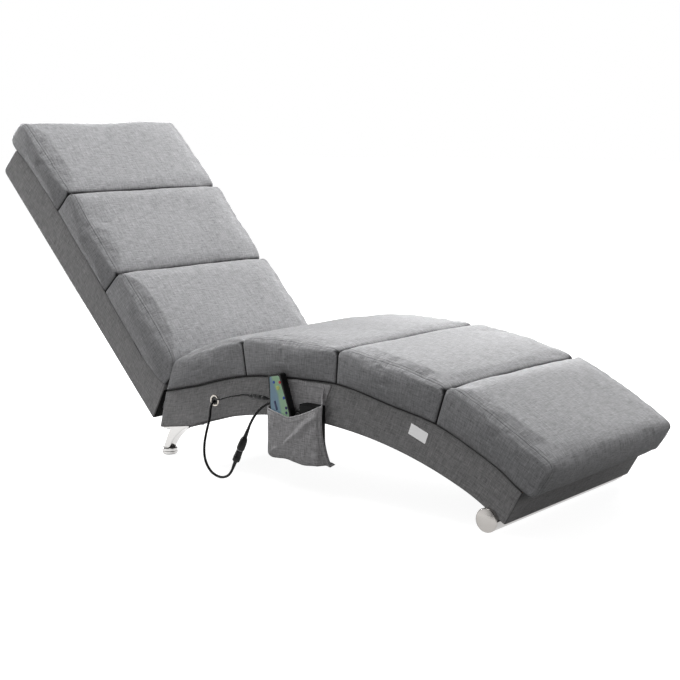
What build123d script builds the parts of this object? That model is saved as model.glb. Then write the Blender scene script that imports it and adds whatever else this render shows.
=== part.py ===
from build123d import *
import os
from math import atan2, cos, degrees, pi, radians, sin, tan

# A massage recliner: a straight upholstered back bolted to a curved upholstered seat.
# Millimetres. +X points to the foot end, +Z up, the floor is z = 0.
# The side with the pocket and the handset is at -Y.

os.makedirs("parts", exist_ok=True)

# Widths
base_width = 550
cushion_overhang = 5

# Curved seat: every line of its side is an arc about one centre
crest_x = 251.6
crest_z = 173
arch_radius = 1139
base_depth = 92
cushion_depth = 86
cushion_length = 287.9
calf_cushion_length = 280.4
arch_start_angle = -20.9
deck_bend_angle = -17.5
toe_beyond_tube = 38.8
toe_overhang = 27.9
heel_run = 119.7
heel_fall = 20.1
deck_rear_run = 27
deck_rear_rise = 102
seat_rear_gap = 4
seat_rear_top_run = 37
seat_rear_top_rise = 86

# Straight back: its side is drawn from its own lower rear corner
back_heel_run = 27
back_heel_rise = 20
back_angle = 46.1
back_length = 890
back_depth = 90
back_foot_setback = 30
back_corner = 14
back_cushion_length = 285.5
head_overhang = 38
lumbar_start = 33
lumbar_round = 70

# Upholstery
crown = 18
edge_crown = 5
seam_crown = 3
crease_round = 13
end_round = 26
side_round = 10
crease_gap = 1
seat_gap = 0.3
fabric = 2
lining = 2
overrun = 20

# Wooden frame
board = 18
deck_board = 6
rail_width = 45
rail_depth = 40
heel_rail_start = 16
heel_rail_width = 90
heel_rail_height = 22
end_rail_width = 24
fit = 0.3

# Feet
tube_radius = 27
tube_wall = 2
tube_length = 570
tube_sink = 4
cap_thickness = 5
cap_skirt = 12
cap_edge = 2
leg_setback = 4.5
leg_out = 237
leg_width = 26
leg_neck = 21
leg_edge = 3
leg_top_start = 13
leg_top_length = 88
leg_waist_run_share = 0.25
leg_waist_rise_share = 0.45
leg_back_run_share = 0.42
leg_back_rise_share = 0.48
leg_plate = 4
leg_plate_start = 8
leg_plate_length = 100
leg_plate_width = 68
leg_screw_side = 26
leg_screw_end = 12
disc_radius = 21
disc_height = 18
disc_groove = 2
pad_radius = 16
pad_height = 3
pad_inset = 1.5
tab_length = 50
tab_width = 60
tab_thickness = 4
tab_out = 150
tab_rail_behind = 1.4
tab_rail_ahead = 0.9
open_margin = 1.1
screw_radius = 2.5
screw_head_radius = 5
screw_head = 2.5
screw_length = 16
screw_fit = 0.1

# Join of back and seat
join_plate = 4
join_plate_width = 52
join_knee_run = 14.5
join_knee_rise = 62
join_back_reach = 150
join_seat_run = 8.5
join_seat_rise = 53.2
bolt_radius = 4
bolt_head_radius = 6.5
bolt_head = 5
bolt_length = 18
bolt_pitch = 70

# Side fittings
eyelet_run = 88.3
eyelet_above_arch = 50.3
eyelet_hole_radius = 9.5
eyelet_outer_radius = 15.5
eyelet_rise = 2.5
neck_radius = 11
neck_recess = 13
control_length = 78
control_height = 52
control_depth = 28
control_corner = 4
badge_x = 573.1
badge_z = 187.5
badge_width = 50
badge_height = 27
badge_thickness = 1.2
badge_tilt = 20
badge_corner = 2

# Leads: each route as (x from the eyelet, out from the middle of the width, z), eyelet to pocket
handset_lead = 6.5
supply_lead = 4
bend_share = 0.45
handset_lead_exit = (-2.5, -1)
handset_lead_exit_out = -278
handset_lead_lower_route = [
    (2.5, -293, 163), (12, -304, 140), (14, -320, 106), (15, -330, 70), (24, -336, 38), (45, -337.5, 13),
    (71.5, -337, 4), (94.5, -335.5, 6.4),
]
lead_from_place = (116, -331, 31)
lead_to_place = (155, -312, 138)
lead_from_straight = 14
lead_to_straight = 20
handset_lead_upper_route = [
    (176.5, -299, 182), (196.5, -290, 198.5), (219.5, -285.5, 203.5), (236, -284, 190), (235, -283.5, 156),
    (235.5, -285.5, 121), (236, -289.5, 94), (244.5, -293, 83), (257.7, -297, 80), (270, -300.5, 85.7),
]
relief_straight = 15
supply_lead_exit = (3.5, 3)
supply_lead_exit_out = -277
supply_lead_lower_route = [
    (14.5, -286.5, 183.5), (34.5, -288.5, 187.5), (63.5, -288.5, 197.5), (93.5, -287, 204),
]
supply_from_place = (127, -284, 209)
supply_straight = 15
supply_connector_length = 65.5
supply_lead_upper_route = [
    (223.5, -284.4, 211), (242.5, -284.8, 212), (261.5, -286, 208), (277.5, -287.2, 197.5),
]

# Plug and socket on each lead: lengths along the lead and their radii
socket_boot = 23.5
socket_body = 28
socket_ring = 2.5
plug_body = 35
boot_tip_radius = 3.6
boot_root_radius = 5.5
socket_radius = 9.5
ring_radius = 8
plug_radius = 10
supply_boot = 8
supply_socket_body = 23
supply_plug_body = 27
supply_boot_tip_radius = 2.5
supply_boot_root_radius = 4
supply_socket_radius = 4.6
supply_plug_radius = 5
connector_edge = 1

# Pocket
pocket_run = 214.5
pocket_width = 176.5
pocket_floor = 75
pocket_back_top = 262
pocket_left_top = 195
pocket_dip_top = 184
pocket_right_top = 221
pocket_depth = 40
pocket_bulge = 5
pocket_wall = 2.5
pocket_corner = 16
pocket_dip_run = 69
pocket_shoulder_run = 30
pocket_bulge_inset = 12

# Handset
handset_run = 24.5
handset_z = 279
handset_lean = 11.6
handset_length = 158
handset_top_width = 42
handset_full_width = 66
handset_foot_width = 54
handset_full_at = 96
handset_thickness = 20
handset_wall = 2
handset_split = 11
handset_corner = 7
handset_face_inset = 3.5
handset_face_skin = 0.8
handset_board_thickness = 1.6
handset_side_round = 60
handset_edge = 2
handset_board_depth = 6
board_post_radius = 2.5
board_post_across = 15
board_post_heights = (-32, -122)
relief_length = 12
relief_root_radius = 5
relief_tip_radius = 4
relief_neck_radius = 3.5

# Handset keys: places across and up from the middle of the handset's top edge
key_travel = 0.6
key_rise = 1.2
key_gap = 0.25
key_seat = 0.1
key_flange = 1
key_stem_radius = 1.5
key_edge = 0.4
small_key_radius = 3.4
round_keys = {
    "timer_key": (-4, -19.6, small_key_radius),
    "power_key": (15, -21.5, small_key_radius),
    "program_key": (6.3, -34, 5),
    "heat_key": (20.5, -59.3, small_key_radius),
    "zone_up_key": (23, -83.5, small_key_radius),
    "zone_down_key": (21.3, -95.2, small_key_radius),
}
speed_key_top = (-10.5, -66.2)
speed_key_foot = (-8.1, -84.1)
speed_key_width = 5

# Adapter
adapter_run = 129.5
adapter_width = 58
adapter_height = 138
adapter_thickness = 30
adapter_corner = 4
adapter_out = 294
adapter_outlet_out = 288
adapter_outlet_z = 192
adapter_outlet = 10
adapter_outlet_radius = 4
inlet_width = 14
inlet_height = 8
inlet_depth = 12
inlet_pin_radius = 1.2
inlet_pin_length = 9

# Massage motors
motor_radius = 29
motor_height = 30
motor_flange_radius = 38
motor_wall = 2
can_radius = 15
can_height = 14
shaft_radius = 1.5
shaft_clearance = 0.05
shaft_foot = 4
weight_radius = 21
weight_height = 8
weight_base = 17
cavity_gap = 1.5

# Places that follow from the sizes above
base_half = base_width / 2
cushion_half = base_half + cushion_overhang
arc_centre_z = crest_z - arch_radius
deck_radius = arch_radius + base_depth
seat_top_radius = deck_radius + cushion_depth
pocket_reach = pocket_depth + pocket_bulge
mid_y = (base_half + pocket_reach - tube_length / 2) / 2
side_y = mid_y - base_half
board_half = base_half - fabric
inner_half = board_half - board
back_cosine = cos(radians(back_angle))
back_sine = sin(radians(back_angle))
tube_x = crest_x + ((arch_radius - tube_radius + tube_sink) ** 2 - (tube_radius - arc_centre_z) ** 2) ** 0.5
tube_angle = degrees(atan2(tube_x - crest_x, tube_radius - arc_centre_z))
base_end_angle = tube_angle + degrees(toe_beyond_tube / arch_radius)
seat_end_angle = base_end_angle + degrees(toe_overhang / deck_radius)
cushion_pitch_angle = degrees(cushion_length / deck_radius)
first_crease_angle = seat_end_angle - degrees(calf_cushion_length / deck_radius) - 2 * cushion_pitch_angle
# The rear of the seat, the back, the rear legs, the join and the side fittings follow from the arch's rear end
arch_rear_x = crest_x + arch_radius * sin(radians(arch_start_angle))
arch_rear_z = arc_centre_z + arch_radius * cos(radians(arch_start_angle))
heel_x = arch_rear_x - heel_run
heel_z = arch_rear_z - heel_fall
deck_rear_x = heel_x + deck_rear_run
deck_rear_z = heel_z + deck_rear_rise
seat_rear_top_x = deck_rear_x + seat_rear_top_run
seat_rear_top_z = deck_rear_z + seat_rear_top_rise
back_heel_x = heel_x - back_heel_run
back_heel_z = heel_z + back_heel_rise
leg_x = heel_x - leg_setback
join_knee_x = heel_x + join_knee_run
join_knee_z = heel_z + join_knee_rise
eyelet_x = arch_rear_x + eyelet_run
eyelet_z = arc_centre_z + (arch_radius ** 2 - (crest_x - eyelet_x) ** 2) ** 0.5 + eyelet_above_arch
pocket_left = eyelet_x + pocket_run
pocket_right = pocket_left + pocket_width
pocket_dip_x = pocket_left + pocket_dip_run
pocket_shoulder_x = pocket_left + pocket_shoulder_run
handset_x = pocket_left + handset_run
adapter_x = pocket_left + adapter_run

seat_side = Plane(origin=(0, mid_y, 0), x_dir=(1, 0, 0), z_dir=(0, -1, 0))
back_side = Plane(origin=(back_heel_x, mid_y, back_heel_z),
                  x_dir=(-back_cosine, 0, back_sine), z_dir=(0, 1, 0))


def seat_point(angle, radius):
    """Point of the seat's side, from its angle off the crest and its radius."""
    turn = radians(angle)
    return (crest_x + radius * sin(turn), arc_centre_z + radius * cos(turn))


def seat_plane(angle, radius, out=0):
    """Plane that lies on the seat's curve and faces away from its centre."""
    x, z = seat_point(angle, radius)
    turn = radians(angle)
    return Plane(origin=(x, mid_y + out, z), x_dir=(cos(turn), 0, -sin(turn)),
                 z_dir=(sin(turn), 0, cos(turn)))


def back_plane(along, height, out=0):
    """Plane that lies on the back and faces the cushions, along and height from its heel."""
    x = back_heel_x - along * back_cosine + height * back_sine
    z = back_heel_z + along * back_sine + height * back_cosine
    return Plane(origin=(x, mid_y + out, z), x_dir=(-back_cosine, 0, back_sine),
                 z_dir=(back_sine, 0, back_cosine))


heel_slope = degrees(atan2(seat_point(arch_start_angle, arch_radius)[1] - heel_z,
                           seat_point(arch_start_angle, arch_radius)[0] - heel_x))


def heel_plane(along, height, out=0):
    """Plane on the flat underside over the rear legs, facing up into the base."""
    turn = radians(heel_slope)
    x = heel_x + along * cos(turn) - height * sin(turn)
    z = heel_z + along * sin(turn) + height * cos(turn)
    return Plane(origin=(x, mid_y + out, z), x_dir=(cos(turn), 0, sin(turn)),
                 z_dir=(-sin(turn), 0, cos(turn)))


def drill(planes, radius, depth):
    """Cut a round hole of one depth both ways from each plane."""
    for plane in planes:
        with BuildSketch(plane) as hole:
            Circle(radius)
        extrude(hole.sketch, amount=depth, both=True, mode=Mode.SUBTRACT)


# Wood screws: four in each rear leg's plate, two in each tab of the front tube
leg_middle = leg_plate_start + leg_plate_length / 2
leg_screw_planes = [
    heel_plane(leg_middle + end * (leg_plate_length / 2 - leg_screw_end), -leg_plate,
               side * leg_out + across * leg_screw_side)
    for side in (-1, 1) for end in (-1, 1) for across in (-1, 1)
]
tab_angle = tube_angle - degrees((tube_radius / 2 + tab_length / 2) / arch_radius)
tab_top = arch_radius - 2 * seat_gap
tab_screw_planes = [
    seat_plane(tab_angle, tab_top - tab_thickness, side * tab_out + across * tab_width / 4)
    for side in (-1, 1) for across in (-1, 1)
]
screw_planes = leg_screw_planes + tab_screw_planes
# Join plates: one arm up the back, one along the seat, meeting at a knee in the gap
join_knee = (join_knee_x, join_knee_z)
join_back_plane = back_plane(join_back_reach, back_depth / 2)
join_back_end = (join_back_plane.origin.X, join_back_plane.origin.Z)
join_seat_end = (arch_rear_x + join_seat_run, arch_rear_z + join_seat_rise)
join_arms = [(join_knee, join_back_end), (join_knee, join_seat_end)]
join_bolt_points = [
    tuple(arm_end[i] + (join_knee[i] - arm_end[i]) * share for i in (0, 1))
    for arm_end, share in (
        (join_back_end, 0),
        (join_back_end, bolt_pitch / (join_back_reach + bolt_pitch)),
        (join_seat_end, 0),
        (join_seat_end, bolt_pitch / (join_back_reach + bolt_pitch)),
    )
]


def join_outline(grow=0):
    """Side view of a join plate, grown by a clearance."""
    with BuildSketch(Plane.XY) as outline:
        for start, end in join_arms:
            run = Vector(end[0] - start[0], end[1] - start[1])
            turn = degrees(atan2(run.Y, run.X))
            with Locations(((start[0] + end[0]) / 2, (start[1] + end[1]) / 2)):
                SlotCenterToCenter(run.length, join_plate_width + 2 * grow, rotation=turn)
    return outline.sketch


def cut_join_slots():
    """Cut the slots that both join plates pass through."""
    for side in (-1, 1):
        with BuildSketch(seat_side.offset(-side * (inner_half + fit))) as slot:
            add(join_outline(fit))
        extrude(slot.sketch, amount=side * (join_plate + 2 * fit), mode=Mode.SUBTRACT)


def save(part, name):
    """Label a finished piece and write it to its own file."""
    part.label = name
    export_step(part, f"parts/{name}.step")


eyelet_plane = Plane((eyelet_x, side_y, eyelet_z), x_dir=(1, 0, 0), z_dir=(0, -1, 0))


# Seat base: the fabric cover is a closed band, open only below, between the side boards
def moved_in(start, end, inset):
    """A straight side, moved to its left by inset."""
    run = Vector(end[0] - start[0], end[1] - start[1]).normalized()
    shift = Vector(-run.Y, run.X) * inset
    return Vector(*start) + shift, Vector(*end) + shift


def meet_line(first, second):
    """Point where two straight sides meet."""
    run = first[1] - first[0]
    other = second[1] - second[0]
    return first[0] + run * ((second[0] - first[0]).cross(other).Z / run.cross(other).Z)


def meet_arc(side, radius, near):
    """Point nearest to near where a straight side meets a circle about the seat's centre."""
    run = (side[1] - side[0]).normalized()
    to_centre = Vector(crest_x, arc_centre_z) - side[0]
    along = to_centre.dot(run)
    reach = (radius ** 2 - to_centre.length ** 2 + along ** 2) ** 0.5
    ends = [side[0] + run * (along - reach), side[0] + run * (along + reach)]
    return min(ends, key=lambda end: (end - Vector(*near)).length)


def seat_outline(inset=0):
    """Side view of the upholstered seat base, drawn in by inset."""
    low = arch_radius + inset
    high = deck_radius - inset
    arch_start = seat_point(arch_start_angle, arch_radius)
    toe = seat_point(base_end_angle, arch_radius)
    front_top = seat_point(base_end_angle, deck_radius)
    bend = seat_point(deck_bend_angle, deck_radius)
    deck_rear = (deck_rear_x, deck_rear_z)
    under = moved_in((heel_x, heel_z), arch_start, inset)
    front = moved_in(toe, front_top, inset)
    slope = moved_in(bend, deck_rear, inset)
    rear = moved_in(deck_rear, (heel_x, heel_z), inset)
    with BuildSketch(Plane.XY) as outline:
        with BuildLine():
            start_low = meet_arc(under, low, arch_start)
            end_low = meet_arc(front, low, toe)
            end_high = meet_arc(front, high, front_top)
            start_high = meet_arc(slope, high, bend)
            ThreePointArc(start_low, (crest_x, crest_z + inset), end_low)
            Line(end_low, end_high)
            ThreePointArc(end_high, (crest_x, crest_z + base_depth - inset), start_high)
            Polyline(start_high, meet_line(slope, rear), meet_line(rear, under), start_low)
        make_face()
        with Locations((tube_x, tube_radius)):
            Circle(tube_radius + fit + inset, mode=Mode.SUBTRACT)
    return outline.sketch


def seat_band(low, high, start, end):
    """Side view of a strip of the seat between two radii and two angles."""
    middle = (start + end) / 2
    with BuildSketch(Plane.XY) as band:
        with BuildLine():
            ThreePointArc(seat_point(start, low), seat_point(middle, low), seat_point(end, low))
            Line(seat_point(end, low), seat_point(end, high))
            ThreePointArc(seat_point(end, high), seat_point(middle, high), seat_point(start, high))
            Line(seat_point(start, high), seat_point(start, low))
        make_face()
    return band.sketch


# Underside opening of the cover, between a lip at the heel rail and one at the toe
cover_open_start = arch_start_angle + 1
cover_open_end = tab_angle - tab_rail_behind - open_margin

with BuildPart() as seat_cover:
    with BuildSketch(seat_side):
        add(seat_outline())
    extrude(amount=base_half, both=True)
    with BuildSketch(seat_side):
        add(seat_outline(fabric))
    extrude(amount=board_half, both=True, mode=Mode.SUBTRACT)
    with BuildSketch(seat_side):
        add(seat_band(arch_radius - fabric, arch_radius + fabric + fabric, cover_open_start, cover_open_end))
    extrude(amount=inner_half, both=True, mode=Mode.SUBTRACT)
    drill([eyelet_plane], eyelet_hole_radius + fabric, fabric + fit)
    drill(screw_planes, screw_radius + fit, overrun)
    cut_join_slots()
save(seat_cover.part, "seat_cover")


def seat_board(name, side):
    """One arched side board; side is -1 at the pocket and 1 across from it."""
    face = seat_side.offset(-side * inner_half)
    with BuildPart() as part:
        with BuildSketch(face):
            add(seat_outline(fabric))
        extrude(amount=-side * board)
        # Lightening window with round ends between the deck and the arch
        with BuildSketch(face):
            window_radius = arch_radius + base_depth / 2
            add(seat_band(window_radius - base_depth / 6, window_radius + base_depth / 6,
                          first_crease_angle + 3, base_end_angle - 10))
        extrude(amount=-side * (board + overrun), mode=Mode.SUBTRACT)
        if side < 0:
            drill([eyelet_plane], neck_radius + fit, fabric + board + overrun)
        drill(leg_screw_planes, screw_radius + screw_fit, screw_length)
        drill_bolts()
    save(part.part, name)


def drill_bolts():
    """Cut the blind bolt holes in both boards' inner faces."""
    for side in (-1, 1):
        with BuildSketch(seat_side.offset(-side * inner_half)) as holes:
            with Locations(*join_bolt_points):
                Circle(bolt_radius + screw_fit)
        extrude(holes.sketch, amount=-side * (bolt_length - join_plate + fit), mode=Mode.SUBTRACT)


seat_board("seat_board_right", -1)
seat_board("seat_board_left", 1)

rail_half = inner_half - fit
deck_under = deck_radius - fabric - deck_board
seat_rail_angles = [first_crease_angle + step * cushion_pitch_angle for step in range(3)]

with BuildPart() as seat_rails:
    # Rails under the deck at the cushions' creases
    for angle in seat_rail_angles:
        with BuildSketch(seat_plane(angle, deck_under - fit)):
            Rectangle(rail_width, 2 * rail_half)
        extrude(amount=-rail_depth)
    # End rail behind the front tube, as deep as the band
    with BuildSketch(seat_side):
        add(seat_band(arch_radius + fabric + tube_radius / 2, deck_under, base_end_angle - 3, base_end_angle - 1))
    extrude(amount=rail_half, both=True)
    # Rail over the tube's tabs
    with BuildSketch(seat_side):
        add(seat_band(arch_radius + fabric + fit, arch_radius + rail_depth / 2, tab_angle - tab_rail_behind, tab_angle + tab_rail_ahead))
    extrude(amount=rail_half, both=True)
    # Flat rail over the rear legs
    with BuildSketch(heel_plane(heel_rail_start + heel_rail_width / 2, fabric + fit)):
        Rectangle(heel_rail_width, 2 * rail_half)
    extrude(amount=heel_rail_height)
    drill(screw_planes, screw_radius + screw_fit, screw_length)
save(seat_rails.part, "seat_rails")

with BuildPart() as seat_deck:
    with BuildSketch(seat_side):
        add(seat_outline(fabric))
        add(seat_outline(fabric + deck_board), mode=Mode.SUBTRACT)
        add(seat_band(deck_under - overrun / 4, deck_radius + overrun, arch_start_angle - 3, base_end_angle - 1),
            mode=Mode.INTERSECT)
    extrude(amount=rail_half, both=True)
    cut_join_slots()
save(seat_deck.part, "seat_deck")

with BuildPart() as seat_dust_cover:
    with BuildSketch(seat_side):
        add(seat_band(arch_radius + fabric + fit, arch_radius + fabric + lining, cover_open_start - 0.5,
                      cover_open_end + open_margin / 5))
    extrude(amount=rail_half, both=True)
save(seat_dust_cover.part, "seat_dust_cover")


# Back base: a straight upholstered slab, its lower end cut back to meet the seat
def back_outline(inset=0):
    """Side view of the back base in its own frame, drawn in by inset."""
    with BuildSketch(Plane.XY) as outline:
        with BuildLine():
            Polyline((0, 0), (back_length, 0), (back_length, back_depth), (back_foot_setback, back_depth),
                     close=True)
        make_face()
        rear_corner = outline.vertices().sort_by(Axis.X)[-2:].sort_by(Axis.Y)[0]
        fillet(rear_corner, back_corner)
        if inset:
            offset(amount=-inset, kind=Kind.INTERSECTION)
    return outline.sketch


with BuildPart() as back_cover:
    with BuildSketch(back_side):
        add(back_outline())
    extrude(amount=base_half, both=True)
    with BuildSketch(back_side):
        add(back_outline(fabric))
    extrude(amount=board_half, both=True, mode=Mode.SUBTRACT)
    cut_join_slots()
save(back_cover.part, "back_cover")


def back_board(name, side):
    """One straight side board of the back; side is -1 at the pocket side."""
    face = back_side.offset(side * inner_half)
    with BuildPart() as part:
        with BuildSketch(face):
            add(back_outline(fabric))
        extrude(amount=side * board)
        with BuildSketch(face):
            with Locations((back_length - back_cushion_length, back_depth / 2)):
                SlotOverall(back_length / 2, back_depth / 3)
        extrude(amount=side * (board + overrun), mode=Mode.SUBTRACT)
        drill_bolts()
    save(part.part, name)


back_board("back_board_right", -1)
back_board("back_board_left", 1)

back_creases = [back_length + head_overhang - back_cushion_length * count for count in (1, 2)]
back_deck_under = back_depth - fabric - deck_board

with BuildPart() as back_rails:
    for along in [join_back_reach + join_plate_width / 2 + rail_width] + back_creases:
        with BuildSketch(back_plane(along, back_deck_under - fit)):
            Rectangle(rail_width, 2 * rail_half)
        extrude(amount=-rail_depth)
    # Head rail, as deep as the slab
    with BuildSketch(back_plane(back_length - fabric - back_corner - end_rail_width / 2, back_deck_under - fit)):
        Rectangle(end_rail_width, 2 * rail_half)
    extrude(amount=-(back_deck_under - fabric - 2 * fit))
save(back_rails.part, "back_rails")

with BuildPart() as back_deck:
    with BuildSketch(back_side):
        with Locations(((back_foot_setback + back_length) / 2, back_depth - fabric - deck_board / 2)):
            Rectangle(back_length - back_foot_setback - 3 * fabric, deck_board - fit / 3)
    extrude(amount=rail_half, both=True)
    cut_join_slots()
save(back_deck.part, "back_deck")


# Cushions: lofted across the width through side views that grow to the crown in the middle
station_shares = [(-1, 0), (-0.95, 0.5), (-0.5, 0.92), (0, 1), (0.5, 0.92), (0.95, 0.5), (1, 0)]


def seat_cushion_face(start, end, share, first, last):
    """Side view of one seat cushion where its crown has risen by share."""
    low = deck_radius + seat_gap
    corner = seat_top_radius + edge_crown * share - side_round * (1 - share)
    middle = (start + end) / 2
    top = corner + seam_crown + (crown - edge_crown - seam_crown) * share
    half_gap = degrees(crease_gap / 2 / deck_radius)
    with BuildSketch(Plane.XY) as face:
        with BuildLine():
            if first:
                bend = seat_point(deck_bend_angle, low)
                slope = (bend[1] - deck_rear_z - seat_gap) / (bend[0] - deck_rear_x)
                rear = (deck_rear_x + seat_rear_gap, deck_rear_z + seat_gap + seat_rear_gap * slope)
                rear_top = (seat_rear_top_x, seat_rear_top_z - side_round * (1 - share))
                Line(rear, bend)
                ThreePointArc(bend, seat_point((deck_bend_angle + end) / 2, low), seat_point(end - half_gap, low))
                start_top = rear_top
                start_low = rear
            else:
                start_low = seat_point(start + half_gap, low)
                ThreePointArc(start_low, seat_point(middle, low), seat_point(end - half_gap, low))
                start_top = seat_point(start + half_gap, corner)
            end_top = seat_point(end - half_gap, corner)
            Line(seat_point(end - half_gap, low), end_top)
            if first:
                shoulder = seat_point(deck_bend_angle - 1, corner + edge_crown / 2)
                ThreePointArc(end_top, seat_point((end + deck_bend_angle) / 2, top), shoulder)
                Line(shoulder, start_top)
            else:
                ThreePointArc(end_top, seat_point(middle, top), start_top)
            Line(start_top, start_low)
        make_face()
        far = face.vertices().sort_by(lambda v: abs(v.X - end_top[0]) + abs(v.Y - end_top[1]))[0]
        fillet(far, end_round if last else crease_round)
        near = face.vertices().sort_by(lambda v: abs(v.X - start_top[0]) + abs(v.Y - start_top[1]))[0]
        fillet(near, crease_round)
    return face.sketch


def seat_cushion(name, start, end, motor_angle=None, first=False, last=False):
    """One seat cushion between two creases, with a recess for its motor if it has one."""
    with BuildPart() as part:
        for out_share, crown_share in station_shares:
            with BuildSketch(seat_side.offset(out_share * cushion_half)):
                add(seat_cushion_face(start, end, crown_share, first, last))
        loft()
        if motor_angle is not None:
            with BuildSketch(seat_plane(motor_angle, deck_radius - seat_gap)):
                Circle(motor_flange_radius + cavity_gap)
            extrude(amount=motor_height + cavity_gap + seat_gap, mode=Mode.SUBTRACT)
    save(part.part, name)


crease_angles = [first_crease_angle + step * cushion_pitch_angle for step in range(3)]
thigh_motor_angle = (crease_angles[0] + crease_angles[1]) / 2
calf_motor_angle = (crease_angles[2] + seat_end_angle) / 2
seat_cushion("seat_cushion", deck_bend_angle, crease_angles[0], first=True)
seat_cushion("thigh_cushion", crease_angles[0], crease_angles[1], motor_angle=thigh_motor_angle)
seat_cushion("knee_cushion", crease_angles[1], crease_angles[2])
seat_cushion("calf_cushion", crease_angles[2], seat_end_angle, motor_angle=calf_motor_angle, last=True)


def back_cushion_face(start, end, share, kind):
    """Side view of one back cushion where its crown has risen by share."""
    low = back_depth + seat_gap
    corner = back_depth + cushion_depth + edge_crown * share - side_round * (1 - share)
    top = corner + seam_crown + (crown - edge_crown - seam_crown) * share
    begin = start + crease_gap / 2
    finish = end - crease_gap / 2
    middle = (begin + finish) / 2
    with BuildSketch(Plane.XY) as face:
        with BuildLine():
            if kind == "lumbar":
                Line((finish, low), (begin, low))
                lumbar_top = begin + lumbar_round
                diagonal = lumbar_round * (1 - sin(radians(45)))
                ThreePointArc((begin, low), (begin + diagonal, corner - diagonal), (lumbar_top, corner))
                ThreePointArc((lumbar_top, corner), ((lumbar_top + finish) / 2, top), (finish, corner))
            else:
                Line((finish, low), (begin, low))
                Line((begin, low), (begin, corner))
                ThreePointArc((begin, corner), (middle, top), (finish, corner))
            Line((finish, corner), (finish, low))
        make_face()
        if kind != "lumbar":
            near = face.vertices().sort_by(lambda v: abs(v.X - begin) + abs(v.Y - corner))[0]
            fillet(near, crease_round)
        far = face.vertices().sort_by(lambda v: abs(v.X - finish) + abs(v.Y - corner))[0]
        fillet(far, end_round if kind == "head" else crease_round)
        if kind == "head":
            underside = face.vertices().sort_by(lambda v: abs(v.X - finish) + abs(v.Y - low))[0]
            fillet(underside, end_round)
    return face.sketch


def back_cushion(name, start, end, kind):
    """One back cushion with a recess for its motor at its middle."""
    with BuildPart() as part:
        for out_share, crown_share in station_shares:
            with BuildSketch(back_side.offset(out_share * cushion_half)):
                add(back_cushion_face(start, end, crown_share, kind))
        loft()
        with BuildSketch(back_plane((start + end) / 2, back_depth - seat_gap)):
            Circle(motor_flange_radius + cavity_gap)
        extrude(amount=motor_height + cavity_gap + seat_gap, mode=Mode.SUBTRACT)
    save(part.part, name)


back_end = back_length + head_overhang
back_cushion("head_cushion", back_creases[0], back_end, "head")
back_cushion("upper_back_cushion", back_creases[1], back_creases[0], "middle")
back_cushion("lumbar_cushion", lumbar_start, back_creases[1], "lumbar")

# Black linings close the two ends that face each other across the wedge gap
with BuildPart() as end_linings:
    seat_end_run = Vector(deck_rear_x - heel_x, deck_rear_z - heel_z)
    seat_end_turn = atan2(seat_end_run.Y, seat_end_run.X)
    seat_end = Plane(origin=((heel_x + deck_rear_x) / 2, mid_y, (heel_z + deck_rear_z) / 2),
                     x_dir=(0, -1, 0), z_dir=(-sin(seat_end_turn), 0, cos(seat_end_turn)))
    with BuildSketch(seat_end):
        Rectangle(base_width - 2 * lining, seat_end_run.length - 2 * lining)
    extrude(amount=lining)
    back_end_turn = atan2(back_depth, back_foot_setback)
    back_foot = back_plane(back_foot_setback / 2, back_depth / 2)
    foot_normal = back_side.from_local_coords(Vector(-sin(back_end_turn), cos(back_end_turn), 0)) - back_side.origin
    with BuildSketch(Plane(origin=back_foot.origin, x_dir=(0, 1, 0), z_dir=foot_normal)):
        Rectangle(base_width - 2 * lining, (back_depth ** 2 + back_foot_setback ** 2) ** 0.5 - 2 * lining)
    extrude(amount=lining)
    cut_join_slots()
save(end_linings.part, "end_linings")

with BuildPart() as join_plates:
    for side in (-1, 1):
        with BuildSketch(seat_side.offset(-side * inner_half)):
            add(join_outline())
            with Locations(*join_bolt_points):
                Circle(bolt_radius + screw_fit, mode=Mode.SUBTRACT)
        extrude(amount=side * join_plate)
save(join_plates.part, "join_plates")

with BuildPart() as join_bolts:
    for side in (-1, 1):
        head_plane = seat_side.offset(-side * (inner_half - join_plate))
        with BuildSketch(head_plane):
            with Locations(*join_bolt_points):
                RegularPolygon(bolt_head_radius, 6)
        extrude(amount=side * bolt_head)
        with BuildSketch(head_plane):
            with Locations(*join_bolt_points):
                Circle(bolt_radius)
        extrude(amount=-side * bolt_length)
save(join_bolts.part, "join_bolts")


def part_way(start, end, run_share, rise_share):
    """The point that lies the given shares of the run and of the rise from start to end."""
    run, rise = end[0] - start[0], end[1] - start[1]
    return (start[0] + run_share * run, start[1] + rise_share * rise)


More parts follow.
